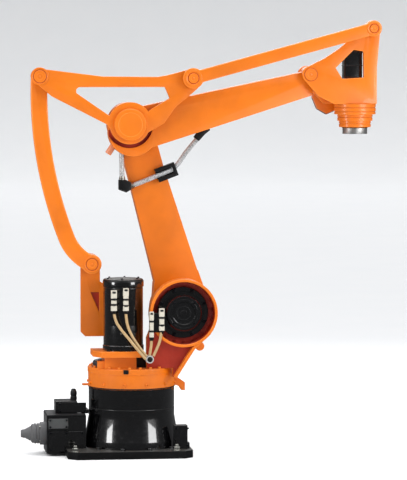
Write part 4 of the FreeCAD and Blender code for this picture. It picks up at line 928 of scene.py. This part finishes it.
# The faces of the side cover that look downwards take the black nylon finish: painted shade under its lobe.
coat_where(side_cover, 2, lambda at, to: to.z < -0.35 and to.x < 0.9)
casting("wrist_top_pin_turned", "wrist_top_pin", "wrist", "bright_steel", [bare_steel, bare_steel], 0.001)
pin_cap("wrist_pivot_cap", WRIST, -0.160, 0.040, (0, -1, 0), "wrist")
pin_cap("wrist_pivot_far_cap", WRIST, 0.056, 0.040, (0, 1, 0), "wrist")
pin_cap("wrist_top_cap", WRIST_TOP, -0.208, 0.026, (0, -1, 0), "top_rod")
casting("wrist_motor_housing", "wrist_motor", "wrist", "black_paint", BLACK_COATS, 0.010)
motor_low, motor_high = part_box("wrist_motor")
RIB_PROUD, RIB_HALF = 0.0015, 0.004
for number, z in enumerate((2.415, 2.500, 2.585)):
    plate_on(f"wrist_motor_rib_{number}",
             (motor_low.x - RIB_PROUD, motor_low.y - RIB_PROUD, z - RIB_HALF),
             (motor_high.x + RIB_PROUD, motor_high.y + RIB_PROUD, z + RIB_HALF),
             BLACK_COATS, 0.003, "wrist", "black_paint")
TOOL_X, TOOL_Y = 1.451345, -0.052
RINGS = [(0, 2.2525), (0.135, 2.2525), (0.135, 2.232), (0.1305, 2.230), (0.1305, 2.2265), (0.135, 2.2245),
         (0.135, 2.206), (0.1305, 2.204), (0.1305, 2.2005), (0.134, 2.1985), (0.134, 2.187), (0.131, 2.185),
         (0.1155, 2.185), (0.114, 2.183), (0.114, 2.170), (0.110, 2.168), (0.110, 2.1645), (0.114, 2.1625),
         (0.114, 2.145), (0.112, 2.143), (0, 2.143)]
LOWER = [(0, 2.1435), (0.103, 2.1435), (0.103, 2.128), (0.0995, 2.126), (0.0995, 2.123), (0.103, 2.121),
         (0.103, 2.105), (0.100, 2.102), (0, 2.102)]
GROOVE_RADII = (0.1305, 0.110, 0.0995)
for name, profile, node in (("wrist_gear_rings", RINGS, "wrist_gearbox"),
                            ("wrist_seal_ring", LOWER, "wrist_lower_ring")):
    rings = lathed(name, profile[::-1], (TOOL_X, TOOL_Y, 0), (0, 0, 1), 112, ORANGE_COATS, 0.001,
                   "wrist", "orange_paint", node)
    # The walls at the bottoms of the grooves take the deep red coat: painted shade in the grooves.
    coat_where(rings, 2, lambda at, to: abs(to.z) < 0.2 and any(
        abs(math.hypot(at.x - TOOL_X, at.y - TOOL_Y) - groove) < 0.0009 for groove in GROOVE_RADII))
bolt_grid("side_cover_screws_far", "wrist", "orange_paint", m8_socket, 2, 1, 0.110, 0.0, (1.283, 0.092, 2.225),
          (0, 1, 0), black_oxide)

# ---------------------------------------------------------------- tool flange
# The turning flange the gripper bolts to: machined steel with a dark pilot bore and six tapped
# holes on its face, and a thin rubber seal where it meets the housing.
casting("tool_flange_turned", "tool_flange", "flange", "bright_steel", [bare_steel, bare_steel], 0.0008)
FLANGE_SEAL = [(0.070, 2.1015), (0.0825, 2.1015), (0.0835, 2.0995), (0.0825, 2.0965), (0.0795, 2.0965)]
flange_seal = turned("flange_seal", FLANGE_SEAL, (TOOL_X, TOOL_Y, 0), (0, 0, 1), 80)
settle(painted(flange_seal, [rubber]), "flange", "black_plastic")
